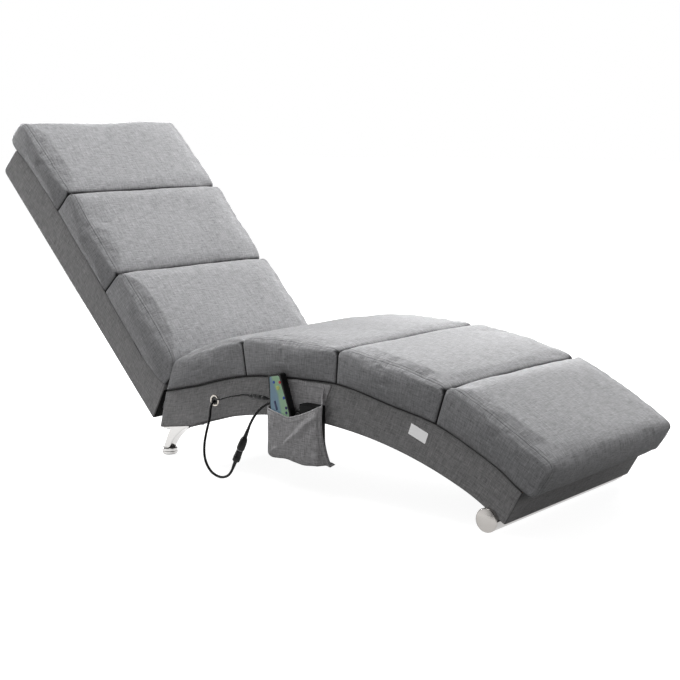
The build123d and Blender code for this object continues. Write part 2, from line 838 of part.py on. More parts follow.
# Rear legs: a swept chrome horn between a screwed plate and a grooved disc
def rear_leg(name, side):
    """One rear leg; side is -1 at the pocket side."""
    middle = seat_side.offset(-side * leg_out)
    rear_top = heel_plane(leg_top_start, -leg_plate).origin
    front_top = heel_plane(leg_top_start + leg_top_length, -leg_plate).origin
    with BuildPart() as part:
        with BuildSketch(middle):
            with BuildLine():
                neck_rear = (leg_x - leg_neck / 2, disc_height)
                neck_front = (leg_x + leg_neck / 2, disc_height)
                top_rear = (rear_top.X, rear_top.Z)
                top_front = (front_top.X, front_top.Z)
                leg_back = part_way(neck_rear, top_rear, leg_back_run_share, leg_back_rise_share)
                leg_waist = part_way(neck_front, top_front, leg_waist_run_share, leg_waist_rise_share)
                ThreePointArc(top_rear, leg_back, neck_rear)
                Line(neck_rear, neck_front)
                ThreePointArc(neck_front, leg_waist, top_front)
                Line(top_front, top_rear)
            make_face()
        extrude(amount=leg_width / 2, both=True)
        curved = part.faces().filter_by(GeomType.CYLINDER).edges().filter_by(GeomType.CIRCLE)
        fillet(curved, leg_edge)
        with BuildSketch(heel_plane(leg_middle, -leg_plate, side * leg_out)):
            RectangleRounded(leg_plate_length, leg_plate_width, leg_edge)
        extrude(amount=leg_plate)
        disc_plane = Plane(origin=(leg_x, mid_y + side * leg_out, 0), x_dir=(1, 0, 0), z_dir=(0, -1, 0))
        with BuildSketch(disc_plane):
            with BuildLine():
                half = disc_height / 2
                foot = pad_height - pad_inset
                Polyline((0, foot), (disc_radius - disc_groove, foot), (disc_radius, foot + disc_groove),
                         (disc_radius, half - disc_groove / 2), (disc_radius - disc_groove, half),
                         (disc_radius, half + disc_groove / 2), (disc_radius, disc_height - disc_groove),
                         (disc_radius - disc_groove, disc_height), (0, disc_height), close=True)
            make_face()
        revolve(axis=Axis((leg_x, mid_y + side * leg_out, 0), (0, 0, 1)))
        with BuildSketch(Plane(origin=(leg_x, mid_y + side * leg_out, 0))):
            Circle(pad_radius)
        extrude(amount=pad_height, mode=Mode.SUBTRACT)
        drill(leg_screw_planes, screw_radius + fit, leg_plate + fit)
    save(part.part, name)


rear_leg("rear_leg_right", -1)
rear_leg("rear_leg_left", 1)

with BuildPart() as foot_pads:
    with BuildSketch():
        with Locations(*[(leg_x, mid_y + side * leg_out) for side in (-1, 1)]):
            Circle(pad_radius)
    extrude(amount=pad_height)
save(foot_pads.part, "foot_pads")

# Front foot: a tube across the whole width with two welded tabs behind it
tube_plane = Plane(origin=(tube_x, mid_y, tube_radius), x_dir=(1, 0, 0), z_dir=(0, -1, 0))
with BuildPart() as front_tube:
    with BuildSketch(tube_plane):
        Circle(tube_radius)
    extrude(amount=tube_length / 2 - cap_thickness, both=True)
    for side in (-1, 1):
        with BuildSketch(seat_plane(tab_angle, tab_top, side * tab_out)):
            RectangleRounded(tab_length, tab_width, leg_edge)
        extrude(amount=-tab_thickness)
    with BuildSketch(tube_plane):
        Circle(tube_radius - tube_wall)
    extrude(amount=tube_length / 2, both=True, mode=Mode.SUBTRACT)
    drill(tab_screw_planes, screw_radius + fit, tab_thickness + fit)
save(front_tube.part, "front_tube")

with BuildPart() as tube_caps:
    for side in (-1, 1):
        end = tube_plane.offset(side * (tube_length / 2 - cap_thickness))
        with BuildSketch(end):
            Circle(tube_radius)
        extrude(amount=side * cap_thickness)
        with BuildSketch(end):
            Circle(tube_radius - tube_wall)
            Circle(tube_radius - 2 * tube_wall, mode=Mode.SUBTRACT)
        extrude(amount=-side * cap_skirt)
    rims = tube_caps.edges().filter_by(GeomType.CIRCLE).group_by(Axis.Y)
    fillet(rims[0] + rims[-1], cap_edge)
save(tube_caps.part, "tube_caps")

with BuildPart() as wood_screws:
    for plane in screw_planes:
        with BuildSketch(plane):
            Circle(screw_head_radius)
        extrude(amount=-screw_head)
        with BuildSketch(plane):
            Circle(screw_radius)
        extrude(amount=screw_length)
save(wood_screws.part, "wood_screws")

# Eyelet: a rolled ring on the cover with a short barrel through it
with BuildPart() as eyelet:
    with BuildSketch(Plane(origin=(eyelet_x, side_y, eyelet_z), x_dir=(1, 0, 0), z_dir=(0, 0, 1))):
        with BuildLine():
            roll = (eyelet_hole_radius + eyelet_outer_radius) / 2
            Line((eyelet_hole_radius, fabric), (eyelet_hole_radius, 0))
            ThreePointArc((eyelet_hole_radius, 0), (roll, -eyelet_rise), (eyelet_outer_radius, 0))
            Polyline((eyelet_outer_radius, 0), (eyelet_hole_radius + fabric - fit, 0),
                     (eyelet_hole_radius + fabric - fit, fabric), (eyelet_hole_radius, fabric))
        make_face()
    revolve(axis=Axis((eyelet_x, side_y, eyelet_z), (0, 1, 0)))
save(eyelet.part, "eyelet")

with BuildPart() as side_plate:
    badge = Plane((badge_x, side_y, badge_z), x_dir=(1, 0, 0), z_dir=(0, -1, 0))
    with BuildSketch(badge):
        RectangleRounded(badge_width, badge_height, badge_corner, rotation=-badge_tilt)
    extrude(amount=badge_thickness)
    fillet(side_plate.faces().sort_by(Axis.Y)[0].edges(), badge_thickness / 3)
save(side_plate.part, "side_plate")

# Control box on the inner face of the board, its neck reaching into the eyelet
with BuildPart() as control_box:
    box_plane = Plane((eyelet_x, mid_y - inner_half, eyelet_z), x_dir=(1, 0, 0), z_dir=(0, 1, 0))
    with BuildSketch(box_plane):
        RectangleRounded(control_length, control_height, control_corner)
    extrude(amount=control_depth)
    fillet(control_box.faces().sort_by(Axis.Y)[-1].edges(), control_corner / 2)
    with BuildSketch(box_plane):
        Circle(neck_radius)
    extrude(amount=-(board + fabric - neck_recess))
save(control_box.part, "control_box")

# Pocket: an open cloth bag on the side, its front panel lower than its back one and bulging
pocket_plane = Plane(origin=(0, side_y, 0), x_dir=(1, 0, 0), z_dir=(0, -1, 0))
pocket_middle = (pocket_left + pocket_right) / 2


def pocket_outline(inset=0):
    """Front view of the bag, drawn in by inset and run up past its mouth."""
    floor = pocket_floor + inset
    top = pocket_back_top + overrun
    with BuildSketch(Plane.XY) as outline:
        with Locations((pocket_middle, (floor + top) / 2)):
            Rectangle(pocket_right - pocket_left - 2 * inset, top - floor)
        fillet(outline.vertices().group_by(Axis.Y)[0], pocket_corner - inset)
    return outline.sketch


bulge_taper = degrees(atan2(pocket_bulge_inset, pocket_bulge))

with BuildPart() as pocket:
    with BuildSketch(pocket_plane):
        add(pocket_outline())
    extrude(amount=pocket_depth)
    with BuildSketch(pocket_plane.offset(pocket_depth)):
        add(pocket_outline())
    extrude(amount=pocket_bulge, taper=bulge_taper)
    with BuildSketch(pocket_plane.offset(pocket_wall)):
        add(pocket_outline(pocket_wall))
    extrude(amount=pocket_depth - 2 * pocket_wall, mode=Mode.SUBTRACT)
    with BuildSketch(pocket_plane.offset(pocket_depth - pocket_wall)):
        add(pocket_outline(pocket_wall))
    extrude(amount=pocket_bulge, taper=bulge_taper, mode=Mode.SUBTRACT)
    # The mouth falls from the back panel's top edge to the front panel's
    left = pocket_left - overrun
    right = pocket_right + overrun
    top = pocket_back_top + 2 * overrun
    with BuildSketch(pocket_plane):
        Polygon((left, pocket_left_top), (pocket_left, pocket_left_top), (pocket_shoulder_x, pocket_back_top),
                (right, pocket_back_top), (right, top), (left, top), align=None)
    with BuildSketch(pocket_plane.offset(pocket_reach + fit)):
        Polygon((left, pocket_left_top), (pocket_left, pocket_left_top), (pocket_dip_x, pocket_dip_top),
                (right, pocket_right_top), (right, top), (left, top), align=None)
    loft(ruled=True, mode=Mode.SUBTRACT)
save(pocket.part, "pocket")

# Handset: it leans in the pocket against the front panel, its keys facing out
lean = radians(handset_lean)
handset_face_y = side_y - pocket_depth + pocket_wall + fit
handset_top = Plane(origin=(handset_x, handset_face_y, handset_z), x_dir=(cos(lean), 0, sin(lean)),
                    z_dir=(0, -1, 0))
front_wall_under = handset_face_skin + handset_wall


def handset_outline(inset=0):
    """Front view of the handset, widest two thirds of the way down, drawn in by inset."""
    top_half = handset_top_width / 2
    full_half = handset_full_width / 2
    foot_half = handset_foot_width / 2
    with BuildSketch(Plane.XY) as outline:
        with BuildLine():
            Polyline((-top_half, 0), (top_half, 0), (full_half, -handset_full_at), (foot_half, -handset_length),
                     (-foot_half, -handset_length), (-full_half, -handset_full_at), close=True)
        make_face()
        rows = outline.vertices().group_by(Axis.Y)
        fillet(rows[0] + rows[-1], handset_corner)
        fillet(outline.vertices().sort_by(Axis.X)[0], handset_side_round)
        fillet(outline.vertices().sort_by(Axis.X)[-1], handset_side_round)
        if inset:
            offset(amount=-inset)
    return outline.sketch


def key_outline(name, grow=0):
    """Front view of one key, grown by a clearance."""
    with BuildSketch(Plane.XY) as outline:
        if name in round_keys:
            across, up, radius = round_keys[name]
            with Locations((across, up)):
                Circle(radius + grow)
        else:
            run = Vector(*speed_key_foot) - Vector(*speed_key_top)
            middle = (Vector(*speed_key_foot) + Vector(*speed_key_top)) / 2
            with Locations((middle.X, middle.Y)):
                SlotCenterToCenter(run.length, speed_key_width + 2 * grow, rotation=degrees(atan2(run.Y, run.X)))
    return outline.sketch


key_names = list(round_keys) + ["speed_key"]
relief_plane = Plane(origin=handset_top.from_local_coords(Vector(0, -handset_length, -handset_thickness / 2)),
                     x_dir=(0, 1, 0), z_dir=-handset_top.y_dir)

with BuildPart() as handset_front:
    with BuildSketch(handset_top):
        add(handset_outline())
    extrude(amount=-handset_split)
    fillet(handset_front.faces().sort_by(Axis.Y)[0].edges(), handset_edge)
    with BuildSketch(handset_top.offset(-front_wall_under)):
        add(handset_outline(handset_wall))
    extrude(amount=-handset_split, mode=Mode.SUBTRACT)
    with BuildSketch(handset_top):
        add(handset_outline(handset_face_inset))
    extrude(amount=-handset_face_skin, mode=Mode.SUBTRACT)
    with BuildSketch(handset_top):
        for name in key_names:
            add(key_outline(name, key_gap))
    extrude(amount=-handset_split, mode=Mode.SUBTRACT)
    drill([relief_plane], relief_neck_radius + screw_fit, handset_wall + fit)
save(handset_front.part, "handset_front")

with BuildPart() as handset_face:
    with BuildSketch(handset_top):
        add(handset_outline(handset_face_inset + key_seat))
        for name in key_names:
            add(key_outline(name, key_gap), mode=Mode.SUBTRACT)
    extrude(amount=-handset_face_skin)
save(handset_face.part, "handset_face")

with BuildPart() as handset_back:
    with BuildSketch(handset_top.offset(-handset_thickness)):
        add(handset_outline())
    extrude(amount=handset_thickness - handset_split)
    fillet(handset_back.faces().sort_by(Axis.Y)[-1].edges(), handset_edge)
    with BuildSketch(handset_top.offset(handset_wall - handset_thickness)):
        add(handset_outline(handset_wall))
    extrude(amount=handset_thickness, mode=Mode.SUBTRACT)
    # Four posts that carry the circuit board
    with BuildSketch(handset_top.offset(handset_wall - handset_thickness)):
        for up in board_post_heights:
            for across in (-board_post_across, board_post_across):
                with Locations((across, up)):
                    Circle(board_post_radius)
    extrude(amount=handset_thickness - handset_wall - handset_board_depth - handset_board_thickness)
    drill([relief_plane], relief_neck_radius + screw_fit, handset_wall + fit)
save(handset_back.part, "handset_back")

with BuildPart() as handset_board:
    with BuildSketch(handset_top.offset(-handset_board_depth)):
        add(handset_outline(handset_wall + handset_face_inset))
    extrude(amount=-handset_board_thickness)
save(handset_board.part, "handset_board")

with BuildPart() as handset_relief:
    with BuildSketch(relief_plane):
        Circle(relief_root_radius)
    with BuildSketch(relief_plane.offset(relief_length)):
        Circle(relief_tip_radius)
    loft()
    with BuildSketch(relief_plane):
        Circle(relief_neck_radius)
    extrude(amount=-(handset_wall + fit))
save(handset_relief.part, "handset_relief")


def key(name):
    """One key: a cap through the face, a flange that stops it behind the wall, a stem to the board."""
    flange_top = front_wall_under + key_seat
    stem_foot = handset_board_depth - key_travel - key_seat
    with BuildPart() as part:
        with BuildSketch(handset_top.offset(-flange_top)):
            add(key_outline(name))
        extrude(amount=flange_top + key_rise)
        fillet(part.faces().sort_by(Axis.Y)[0].edges(), key_edge)
        with BuildSketch(handset_top.offset(-flange_top)):
            add(key_outline(name, key_flange))
        extrude(amount=-key_flange)
        middle = key_outline(name).bounding_box().center()
        with BuildSketch(handset_top.offset(-stem_foot)):
            with Locations((middle.X, middle.Y)):
                Circle(key_stem_radius)
        extrude(amount=stem_foot - flange_top)
    save(part.part, name)


for name in key_names:
    key(name)

# Adapter: a plain block that stands in the pocket, its outlet at the side and its inlet below
adapter_foot = pocket_floor + pocket_wall + fit
adapter_y = mid_y - adapter_out
with BuildPart() as power_adapter:
    with BuildSketch(Plane.XY.offset(adapter_foot)):
        with Locations((adapter_x, adapter_y)):
            RectangleRounded(adapter_width, adapter_thickness, adapter_corner)
    extrude(amount=adapter_height)
    rims = power_adapter.faces().filter_by(GeomType.PLANE).filter_by(Axis.Z)
    fillet(rims.sort_by(Axis.Z)[-1].edges() + rims.sort_by(Axis.Z)[0].edges(), adapter_corner / 2)
    outlet = Plane(origin=(adapter_x - adapter_width / 2, mid_y - adapter_outlet_out, adapter_outlet_z),
                   x_dir=(0, 1, 0), z_dir=(-1, 0, 0))
    with BuildSketch(outlet):
        Circle(adapter_outlet_radius)
    extrude(amount=adapter_outlet)
    with BuildSketch(Plane.XY.offset(adapter_foot)):
        with Locations((adapter_x, adapter_y)):
            SlotOverall(inlet_width, inlet_height)
    extrude(amount=inlet_depth, mode=Mode.SUBTRACT)
    with BuildSketch(Plane.XY.offset(adapter_foot + inlet_depth)):
        with Locations((adapter_x - inlet_width / 4, adapter_y), (adapter_x + inlet_width / 4, adapter_y)):
            Circle(inlet_pin_radius)
    extrude(amount=-inlet_pin_length)
save(power_adapter.part, "power_adapter")


# Plugs and sockets: turned bodies with tapered boots
def turned(name, start, toward, steps):
    """A turned piece: steps of (length, radius at its start, radius at its end) along a line."""
    axis = (Vector(*toward) - Vector(*start)).normalized()
    place = Plane(origin=Vector(*start), z_dir=axis)
    side = Plane(origin=place.origin, x_dir=place.x_dir, z_dir=-place.y_dir)
    points = [(0, 0)]
    run = 0
    for length, start_radius, end_radius in steps:
        points += [(start_radius, run), (end_radius, run + length)]
        run += length
    points.append((0, run))
    with BuildPart() as part:
        with BuildSketch(side):
            Polygon(*points, align=None)
        revolve(axis=Axis(place.origin, axis))
    save(part.part, name)


def placed(route):
    """Points of a route in the part's own frame."""
    return [Vector(eyelet_x + x, mid_y + out, z) for x, out, z in route]


def exit_route(place, out):
    """Straight run out of the eyelet, from behind its ring to a distance out from the middle."""
    across, up = place
    return [(across, side_y - mid_y + neck_recess, eyelet_z + up), (across, out, eyelet_z + up)]


lead_from, lead_to, supply_from = placed([lead_from_place, lead_to_place, supply_from_place])
lead_axis = (lead_to - lead_from).normalized()
socket_length = socket_boot + socket_body + socket_ring
plug_boot = (lead_to - lead_from).length - socket_length - plug_body
turned("lead_socket", lead_from, lead_to, [
    (socket_boot, boot_tip_radius, boot_root_radius),
    (connector_edge, socket_radius - connector_edge, socket_radius),
    (socket_body - connector_edge, socket_radius, socket_radius),
    (socket_ring, ring_radius, ring_radius),
])
turned("lead_plug", lead_from + lead_axis * socket_length, lead_to, [
    (connector_edge, plug_radius - connector_edge, plug_radius),
    (plug_body - 2 * connector_edge, plug_radius, plug_radius),
    (connector_edge, plug_radius, plug_radius - connector_edge),
    (plug_boot, boot_root_radius, boot_tip_radius),
])
supply_to = supply_from + Vector(supply_connector_length, 0, 0)
supply_middle = supply_from + Vector(supply_boot + supply_socket_body, 0, 0)
supply_plug_boot = supply_connector_length - supply_boot - supply_socket_body - supply_plug_body
turned("supply_socket", supply_from, supply_to, [
    (supply_boot, supply_boot_tip_radius, supply_boot_root_radius),
    (supply_socket_body, supply_socket_radius, supply_socket_radius),
])
turned("supply_plug", supply_middle, supply_to, [
    (supply_plug_body, supply_plug_radius, supply_plug_radius),
    (supply_plug_boot, supply_boot_root_radius, supply_boot_tip_radius),
])


def cord(name, points, diameter):
    """A lead: straight runs joined by tangent arcs, each as round as its shorter run allows."""
    radii = []
    for before, here, after in zip(points, points[1:], points[2:]):
        turn = (here - before).get_angle(after - here)
        shorter = min((here - before).length, (after - here).length)
        radii.append(bend_share * shorter / tan(radians(turn / 2)))
    with BuildPart() as part:
        with BuildLine() as path:
            FilletPolyline(*points, radius=radii)
        with BuildSketch(Plane(origin=points[0], z_dir=points[1] - points[0])):
            Circle(diameter / 2)
        sweep()
    length = sum(edge.length for edge in path.edges())
    share = part.part.volume / (length * pi * diameter ** 2 / 4)
    print(name, "length", round(length, 1), "volume share", round(share, 3),
          "radii in diameters", [round(radius / diameter, 1) for radius in radii])
    save(part.part, name)


relief_tip = relief_plane.origin + relief_plane.z_dir * relief_length
outlet_end = outlet.origin - Vector(adapter_outlet, 0, 0)
supply_run = Vector(supply_straight, 0, 0)
cord("handset_lead_lower",
     placed(exit_route(handset_lead_exit, handset_lead_exit_out) + handset_lead_lower_route)
     + [lead_from - lead_axis * lead_from_straight, lead_from],
     handset_lead)
cord("handset_lead_upper",
     [lead_to, lead_to + lead_axis * lead_to_straight] + placed(handset_lead_upper_route)
     + [relief_tip + relief_plane.z_dir * relief_straight, relief_tip],
     handset_lead)
cord("supply_lead_lower",
     placed(exit_route(supply_lead_exit, supply_lead_exit_out) + supply_lead_lower_route)
     + [supply_from - supply_run, supply_from],
     supply_lead)
cord("supply_lead_upper",
     [supply_to, supply_to + supply_run] + placed(supply_lead_upper_route) + [outlet_end - supply_run, outlet_end],
     supply_lead)


# Massage motors: each stands on a deck inside a cushion, an off-centre weight on its shaft
back_motor_alongs = [(back_creases[0] + back_end) / 2, (back_creases[0] + back_creases[1]) / 2,
                     (lumbar_start + back_creases[1]) / 2]
motor_planes = {
    "neck": back_plane(back_motor_alongs[0], back_depth),
    "upper_back": back_plane(back_motor_alongs[1], back_depth),
    "lumbar": back_plane(back_motor_alongs[2], back_depth),
    "thigh": seat_plane(thigh_motor_angle, deck_radius),
    "calf": seat_plane(calf_motor_angle, deck_radius),
}

with BuildPart() as motor_housings:
    for plane in motor_planes.values():
        with BuildSketch(plane):
            Circle(motor_flange_radius)
            Circle(motor_radius - motor_wall, mode=Mode.SUBTRACT)
        extrude(amount=motor_wall)
        with BuildSketch(plane):
            Circle(motor_radius)
            Circle(motor_radius - motor_wall, mode=Mode.SUBTRACT)
        extrude(amount=motor_height)
        with BuildSketch(plane.offset(motor_height - motor_wall)):
            Circle(motor_radius)
        extrude(amount=motor_wall)
save(motor_housings.part, "motor_housings")

with BuildPart() as motor_cans:
    for plane in motor_planes.values():
        with BuildSketch(plane):
            Circle(can_radius)
        extrude(amount=can_height)
        with BuildSketch(plane.offset(shaft_foot)):
            Circle(shaft_radius + shaft_clearance)
        extrude(amount=can_height, mode=Mode.SUBTRACT)
save(motor_cans.part, "motor_cans")


def rotor(name, plane):
    """A motor's shaft with a half disc at its end that shakes the cushion as it turns."""
    with BuildPart() as part:
        with BuildSketch(plane.offset(shaft_foot)):
            Circle(shaft_radius)
        extrude(amount=weight_base + weight_height - shaft_foot)
        with BuildSketch(plane.offset(weight_base)):
            Circle(weight_radius)
            with Locations((-weight_radius / 2, 0)):
                Rectangle(weight_radius, 2 * weight_radius, mode=Mode.SUBTRACT)
            Circle(shaft_foot)
        extrude(amount=weight_height)
    save(part.part, name)


for name, plane in motor_planes.items():
    rotor(f"{name}_rotor", plane)
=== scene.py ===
import bpy
from math import ceil, cos, degrees, exp, pi, radians, sin, sqrt
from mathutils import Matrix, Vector, noise
from types import SimpleNamespace


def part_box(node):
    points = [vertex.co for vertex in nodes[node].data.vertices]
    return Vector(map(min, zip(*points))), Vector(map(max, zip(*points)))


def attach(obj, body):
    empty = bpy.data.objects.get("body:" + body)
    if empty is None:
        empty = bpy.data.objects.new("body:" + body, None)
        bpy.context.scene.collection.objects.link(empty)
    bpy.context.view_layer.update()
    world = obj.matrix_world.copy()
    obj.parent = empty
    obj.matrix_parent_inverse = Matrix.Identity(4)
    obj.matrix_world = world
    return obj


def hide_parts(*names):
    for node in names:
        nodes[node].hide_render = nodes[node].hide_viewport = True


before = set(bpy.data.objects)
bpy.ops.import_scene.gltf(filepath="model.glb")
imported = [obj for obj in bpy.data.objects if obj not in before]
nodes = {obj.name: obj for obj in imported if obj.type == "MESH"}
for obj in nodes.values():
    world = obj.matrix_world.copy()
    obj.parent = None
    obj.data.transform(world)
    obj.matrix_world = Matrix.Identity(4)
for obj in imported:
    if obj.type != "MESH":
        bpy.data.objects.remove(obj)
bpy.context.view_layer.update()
scene = bpy.context.scene
scene.view_settings.view_transform = "Standard"
print("frame loaded")

# Shared sizes, in metres and degrees
midY = 0.0175
baseHalf = 0.275
cushionHalf = 0.28
sideY = midY - baseHalf
crestX = 0.2516
arcZ = -0.966
archRadius = 1.139
deckRadius = 1.231
baseDepth = 0.092
cushionDepth = 0.086
backHeel = Vector((-0.3014, 0.098))
backDepth = 0.09
backLength = 0.890
backTurn = radians(46.1)
backAlong = Vector((-cos(backTurn), sin(backTurn)))
backUp = Vector((sin(backTurn), cos(backTurn)))
restGap = 0.0003  # between a cushion and the deck under it


# Side view places: on the seat's arch, and along the straight back
def seatPoint(angle, radius):
    turn = radians(angle)
    return Vector((crestX + radius * sin(turn), arcZ + radius * cos(turn)))


def backPoint(along, height):
    return backHeel + backAlong * along + backUp * height


# Camera at the photograph's angle
cameraView = {"place": (2.2326, -2.5035, 0.833), "turn": (81.10, 0, 40.02), "lens": 68.35, "sensor": 36}
camera = bpy.data.objects.new("camera", bpy.data.cameras.new("camera"))
scene.collection.objects.link(camera)
camera.location = cameraView["place"]
camera.rotation_euler = [radians(angle) for angle in cameraView["turn"]]
camera.data.lens = cameraView["lens"]
camera.data.sensor_width = cameraView["sensor"]
scene.camera = camera


# Node trees: sockets take a value or another node's output
def plug(tree, socket, value):
    if isinstance(value, bpy.types.NodeSocket):
        tree.links.new(value, socket)
    else:
        socket.default_value = value


def makeNode(tree, kind, props=None, args=None, **sockets):
    made = tree.nodes.new(kind)
    for key, value in (props or {}).items():
        setattr(made, key, value)
    for i, value in enumerate(args or []):
        if value is not None:
            plug(tree, made.inputs[i], value)
    for key, value in sockets.items():
        plug(tree, made.inputs[key.replace("_", " ")], value)
    return made


def startMaterial(name):
    material = bpy.data.materials.new(name)
    material.use_nodes = True
    material.node_tree.nodes.clear()
    return material, material.node_tree


def finishMaterial(tree, shader):
    output = tree.nodes.new("ShaderNodeOutputMaterial")
    tree.links.new(shader, output.inputs["Surface"])


def calc(tree, operation, first, second=0.0, third=0.0):
    return makeNode(tree, "ShaderNodeMath", {"operation": operation}, [first, second, third]).outputs[0]


def blendColours(tree, share, first, second):
    made = makeNode(tree, "ShaderNodeMix", {"data_type": "RGBA"})
    for socket, value in ((made.inputs[0], share), (made.inputs[6], first), (made.inputs[7], second)):
        plug(tree, socket, value)
    return made.outputs[2]


def ramp(tree, value, low, high, start=0.0, end=1.0):
    return makeNode(tree, "ShaderNodeMapRange", {"interpolation_type": "SMOOTHSTEP"}, Value=value,
                    From_Min=low, From_Max=high, To_Min=start, To_Max=end).outputs[0]


def grey(level):
    return (level, level, level, 1)


def noiseAt(tree, vector, scale, detail=2.0, rough=0.5):
    return makeNode(tree, "ShaderNodeTexNoise", Vector=vector, Scale=scale, Detail=detail,
                    Roughness=rough).outputs["Fac"]


def stretched(tree, vector, scale):
    return makeNode(tree, "ShaderNodeMapping", Vector=vector, Scale=scale).outputs[0]


def bumpFrom(tree, height, distance, strength=0.45):
    return makeNode(tree, "ShaderNodeBump", Strength=strength, Distance=distance, Height=height).outputs[0]


def objectPlace(tree):
    return makeNode(tree, "ShaderNodeTexCoord").outputs["Object"]


def split(tree, vector):
    return makeNode(tree, "ShaderNodeSeparateXYZ", Vector=vector).outputs


# A total with share times value added to it
def addShare(tree, value, share, total):
    return calc(tree, "MULTIPLY_ADD", value, share, total)


def centred(tree, value):
    return calc(tree, "SUBTRACT", value, 0.5)


# A soft-edged line along a seam: 1 within reach[0] of the distance, 0 past reach[1]
def lineAlong(tree, away, distance, reach):
    off = calc(tree, "ABSOLUTE", calc(tree, "SUBTRACT", away, distance))
    return ramp(tree, off, *reach, 1.0, 0.0)


# Heathered linen: slubbed threads both ways and a basket weave. The pieces carry a UV map in metres, the
# distance from their nearest seam, and how much painted shade a place gets in a crease or where pieces meet
linenLook = {
    "threads": (55, 620), "threadShare": 1.35, "slubs": (24, 270), "slubShare": 0.62, "clumps": 380,
    "clumpShare": 0.5, "broad": 5.0, "broadShare": 0.10, "seam": (0.0002, 0.0013), "lipAt": 0.0026,
    "lip": (0.0002, 0.0018), "lipShare": 0.10, "groove": (0.0003, 0.0014), "grooveShare": -0.14,
    "creaseShadeShare": -0.97, "darkest": 0.03, "pitch": 0.0013, "basket": 0.25, "fleckRelief": 0.8,
    "grooveRelief": -0.8, "relief": 0.0008, "roughness": 0.88, "sheenRoughness": 0.5, "specular": 0.25,
}


def linen(name, level, contrast=1.0, tint=(1.0, 1.0, 1.015), sheen=0.3, seamDark=0.45, topstitch=0.0075):
    look = linenLook
    material, tree = startMaterial(name)
    weave = makeNode(tree, "ShaderNodeUVMap", {"uv_map": "weave"}).outputs[0]
    thin, long = look["threads"][1], look["threads"][0]
    warp = noiseAt(tree, stretched(tree, weave, (long, thin, 1)), 1.0, 3.0, 0.65)
    weft = noiseAt(tree, stretched(tree, weave, (thin, long, 1)), 1.0, 3.0, 0.65)
    thin, long = look["slubs"][1], look["slubs"][0]
    slubs = noiseAt(tree, stretched(tree, weave, (thin, long, 1)), 1.0, 1.5, 0.5)
    crossSlubs = noiseAt(tree, stretched(tree, weave, (long, thin, 1)), 1.0, 1.5, 0.5)
    broad = noiseAt(tree, objectPlace(tree), look["broad"], 2.0)
    threads = calc(tree, "SUBTRACT", calc(tree, "ADD", warp, weft), 1.0)
    fleck = centred(tree, noiseAt(tree, weave, look["clumps"], 3.0, 0.7))
    mottle = addShare(tree, threads, look["threadShare"] * contrast, 1.0)
    mottle = addShare(tree, fleck, look["clumpShare"] * contrast, mottle)
    for thick in (slubs, crossSlubs):
        mottle = addShare(tree, centred(tree, thick), look["slubShare"] * contrast, mottle)
    mottle = addShare(tree, centred(tree, broad), look["broadShare"], mottle)
    away = makeNode(tree, "ShaderNodeAttribute", {"attribute_name": "fromSeam"}).outputs["Fac"]
    # The paintedShade attribute darkens the colour where shade would fall in creases and between pieces:
    # painted shade
    deep = makeNode(tree, "ShaderNodeAttribute", {"attribute_name": "paintedShade"}).outputs["Fac"]
    seam = lineAlong(tree, away, 0.0, look["seam"])
    # A pale line painted beside each seam: painted highlight standing for light on the cloth's ridge there
    lip = lineAlong(tree, away, look["lipAt"], look["lip"])
    groove = lineAlong(tree, away, topstitch, look["groove"])
    shade = addShare(tree, seam, -seamDark, 1.0)
    for line, share in ((groove, look["grooveShare"]), (lip, look["lipShare"]), (deep, look["creaseShadeShare"])):
        shade = calc(tree, "MULTIPLY", shade, addShare(tree, line, share, 1.0))
    value = calc(tree, "MULTIPLY", calc(tree, "MULTIPLY", mottle, shade), level)
    value = calc(tree, "MAXIMUM", value, level * look["darkest"])
    red, green, blue = [calc(tree, "MULTIPLY", value, part) for part in tint]
    colour = makeNode(tree, "ShaderNodeCombineColor", Red=red, Green=green, Blue=blue).outputs[0]
    across = split(tree, weave)
    ridgeU, ridgeV = [calc(tree, "SINE", calc(tree, "MULTIPLY", across[i], 2 * pi / look["pitch"]))
                      for i in range(2)]
    relief = addShare(tree, calc(tree, "MULTIPLY", ridgeU, ridgeV), look["basket"], threads)
    relief = addShare(tree, fleck, look["fleckRelief"], relief)
    relief = addShare(tree, groove, look["grooveRelief"], relief)
    shader = makeNode(tree, "ShaderNodeBsdfPrincipled", Base_Color=colour, Roughness=look["roughness"],
                      Normal=bumpFrom(tree, relief, look["relief"]), Sheen_Weight=sheen,
                      Sheen_Roughness=look["sheenRoughness"], Specular_IOR_Level=look["specular"])
    finishMaterial(tree, shader.outputs[0])
    return material


# Solid finish: mottled colour, uneven gloss and a fine relief; stretch gives it a grain
def solidFinish(name, colour, roughness=0.5, metallic=0.0, grain=0.12, scale=60.0, relief=0.0002,
                stretch=(1, 1, 1), specular=0.5):
    material, tree = startMaterial(name)
    place = stretched(tree, objectPlace(tree), stretch)
    coarse = noiseAt(tree, place, scale, 4.0, 0.6)
    fine = noiseAt(tree, place, scale * 9, 2.0, 0.6)
    share = addShare(tree, centred(tree, coarse), 2 * grain, 0.5)
    low = [part * (1 - grain) for part in colour] + [1]
    high = [min(1, part * (1 + grain)) for part in colour] + [1]
    uneven = addShare(tree, centred(tree, fine), 0.25 * roughness, roughness)
    shader = makeNode(tree, "ShaderNodeBsdfPrincipled", Base_Color=blendColours(tree, share, low, high),
                      Metallic=metallic, Roughness=uneven, Normal=bumpFrom(tree, fine, relief),
                      Specular_IOR_Level=specular)
    finishMaterial(tree, shader.outputs[0])
    return material


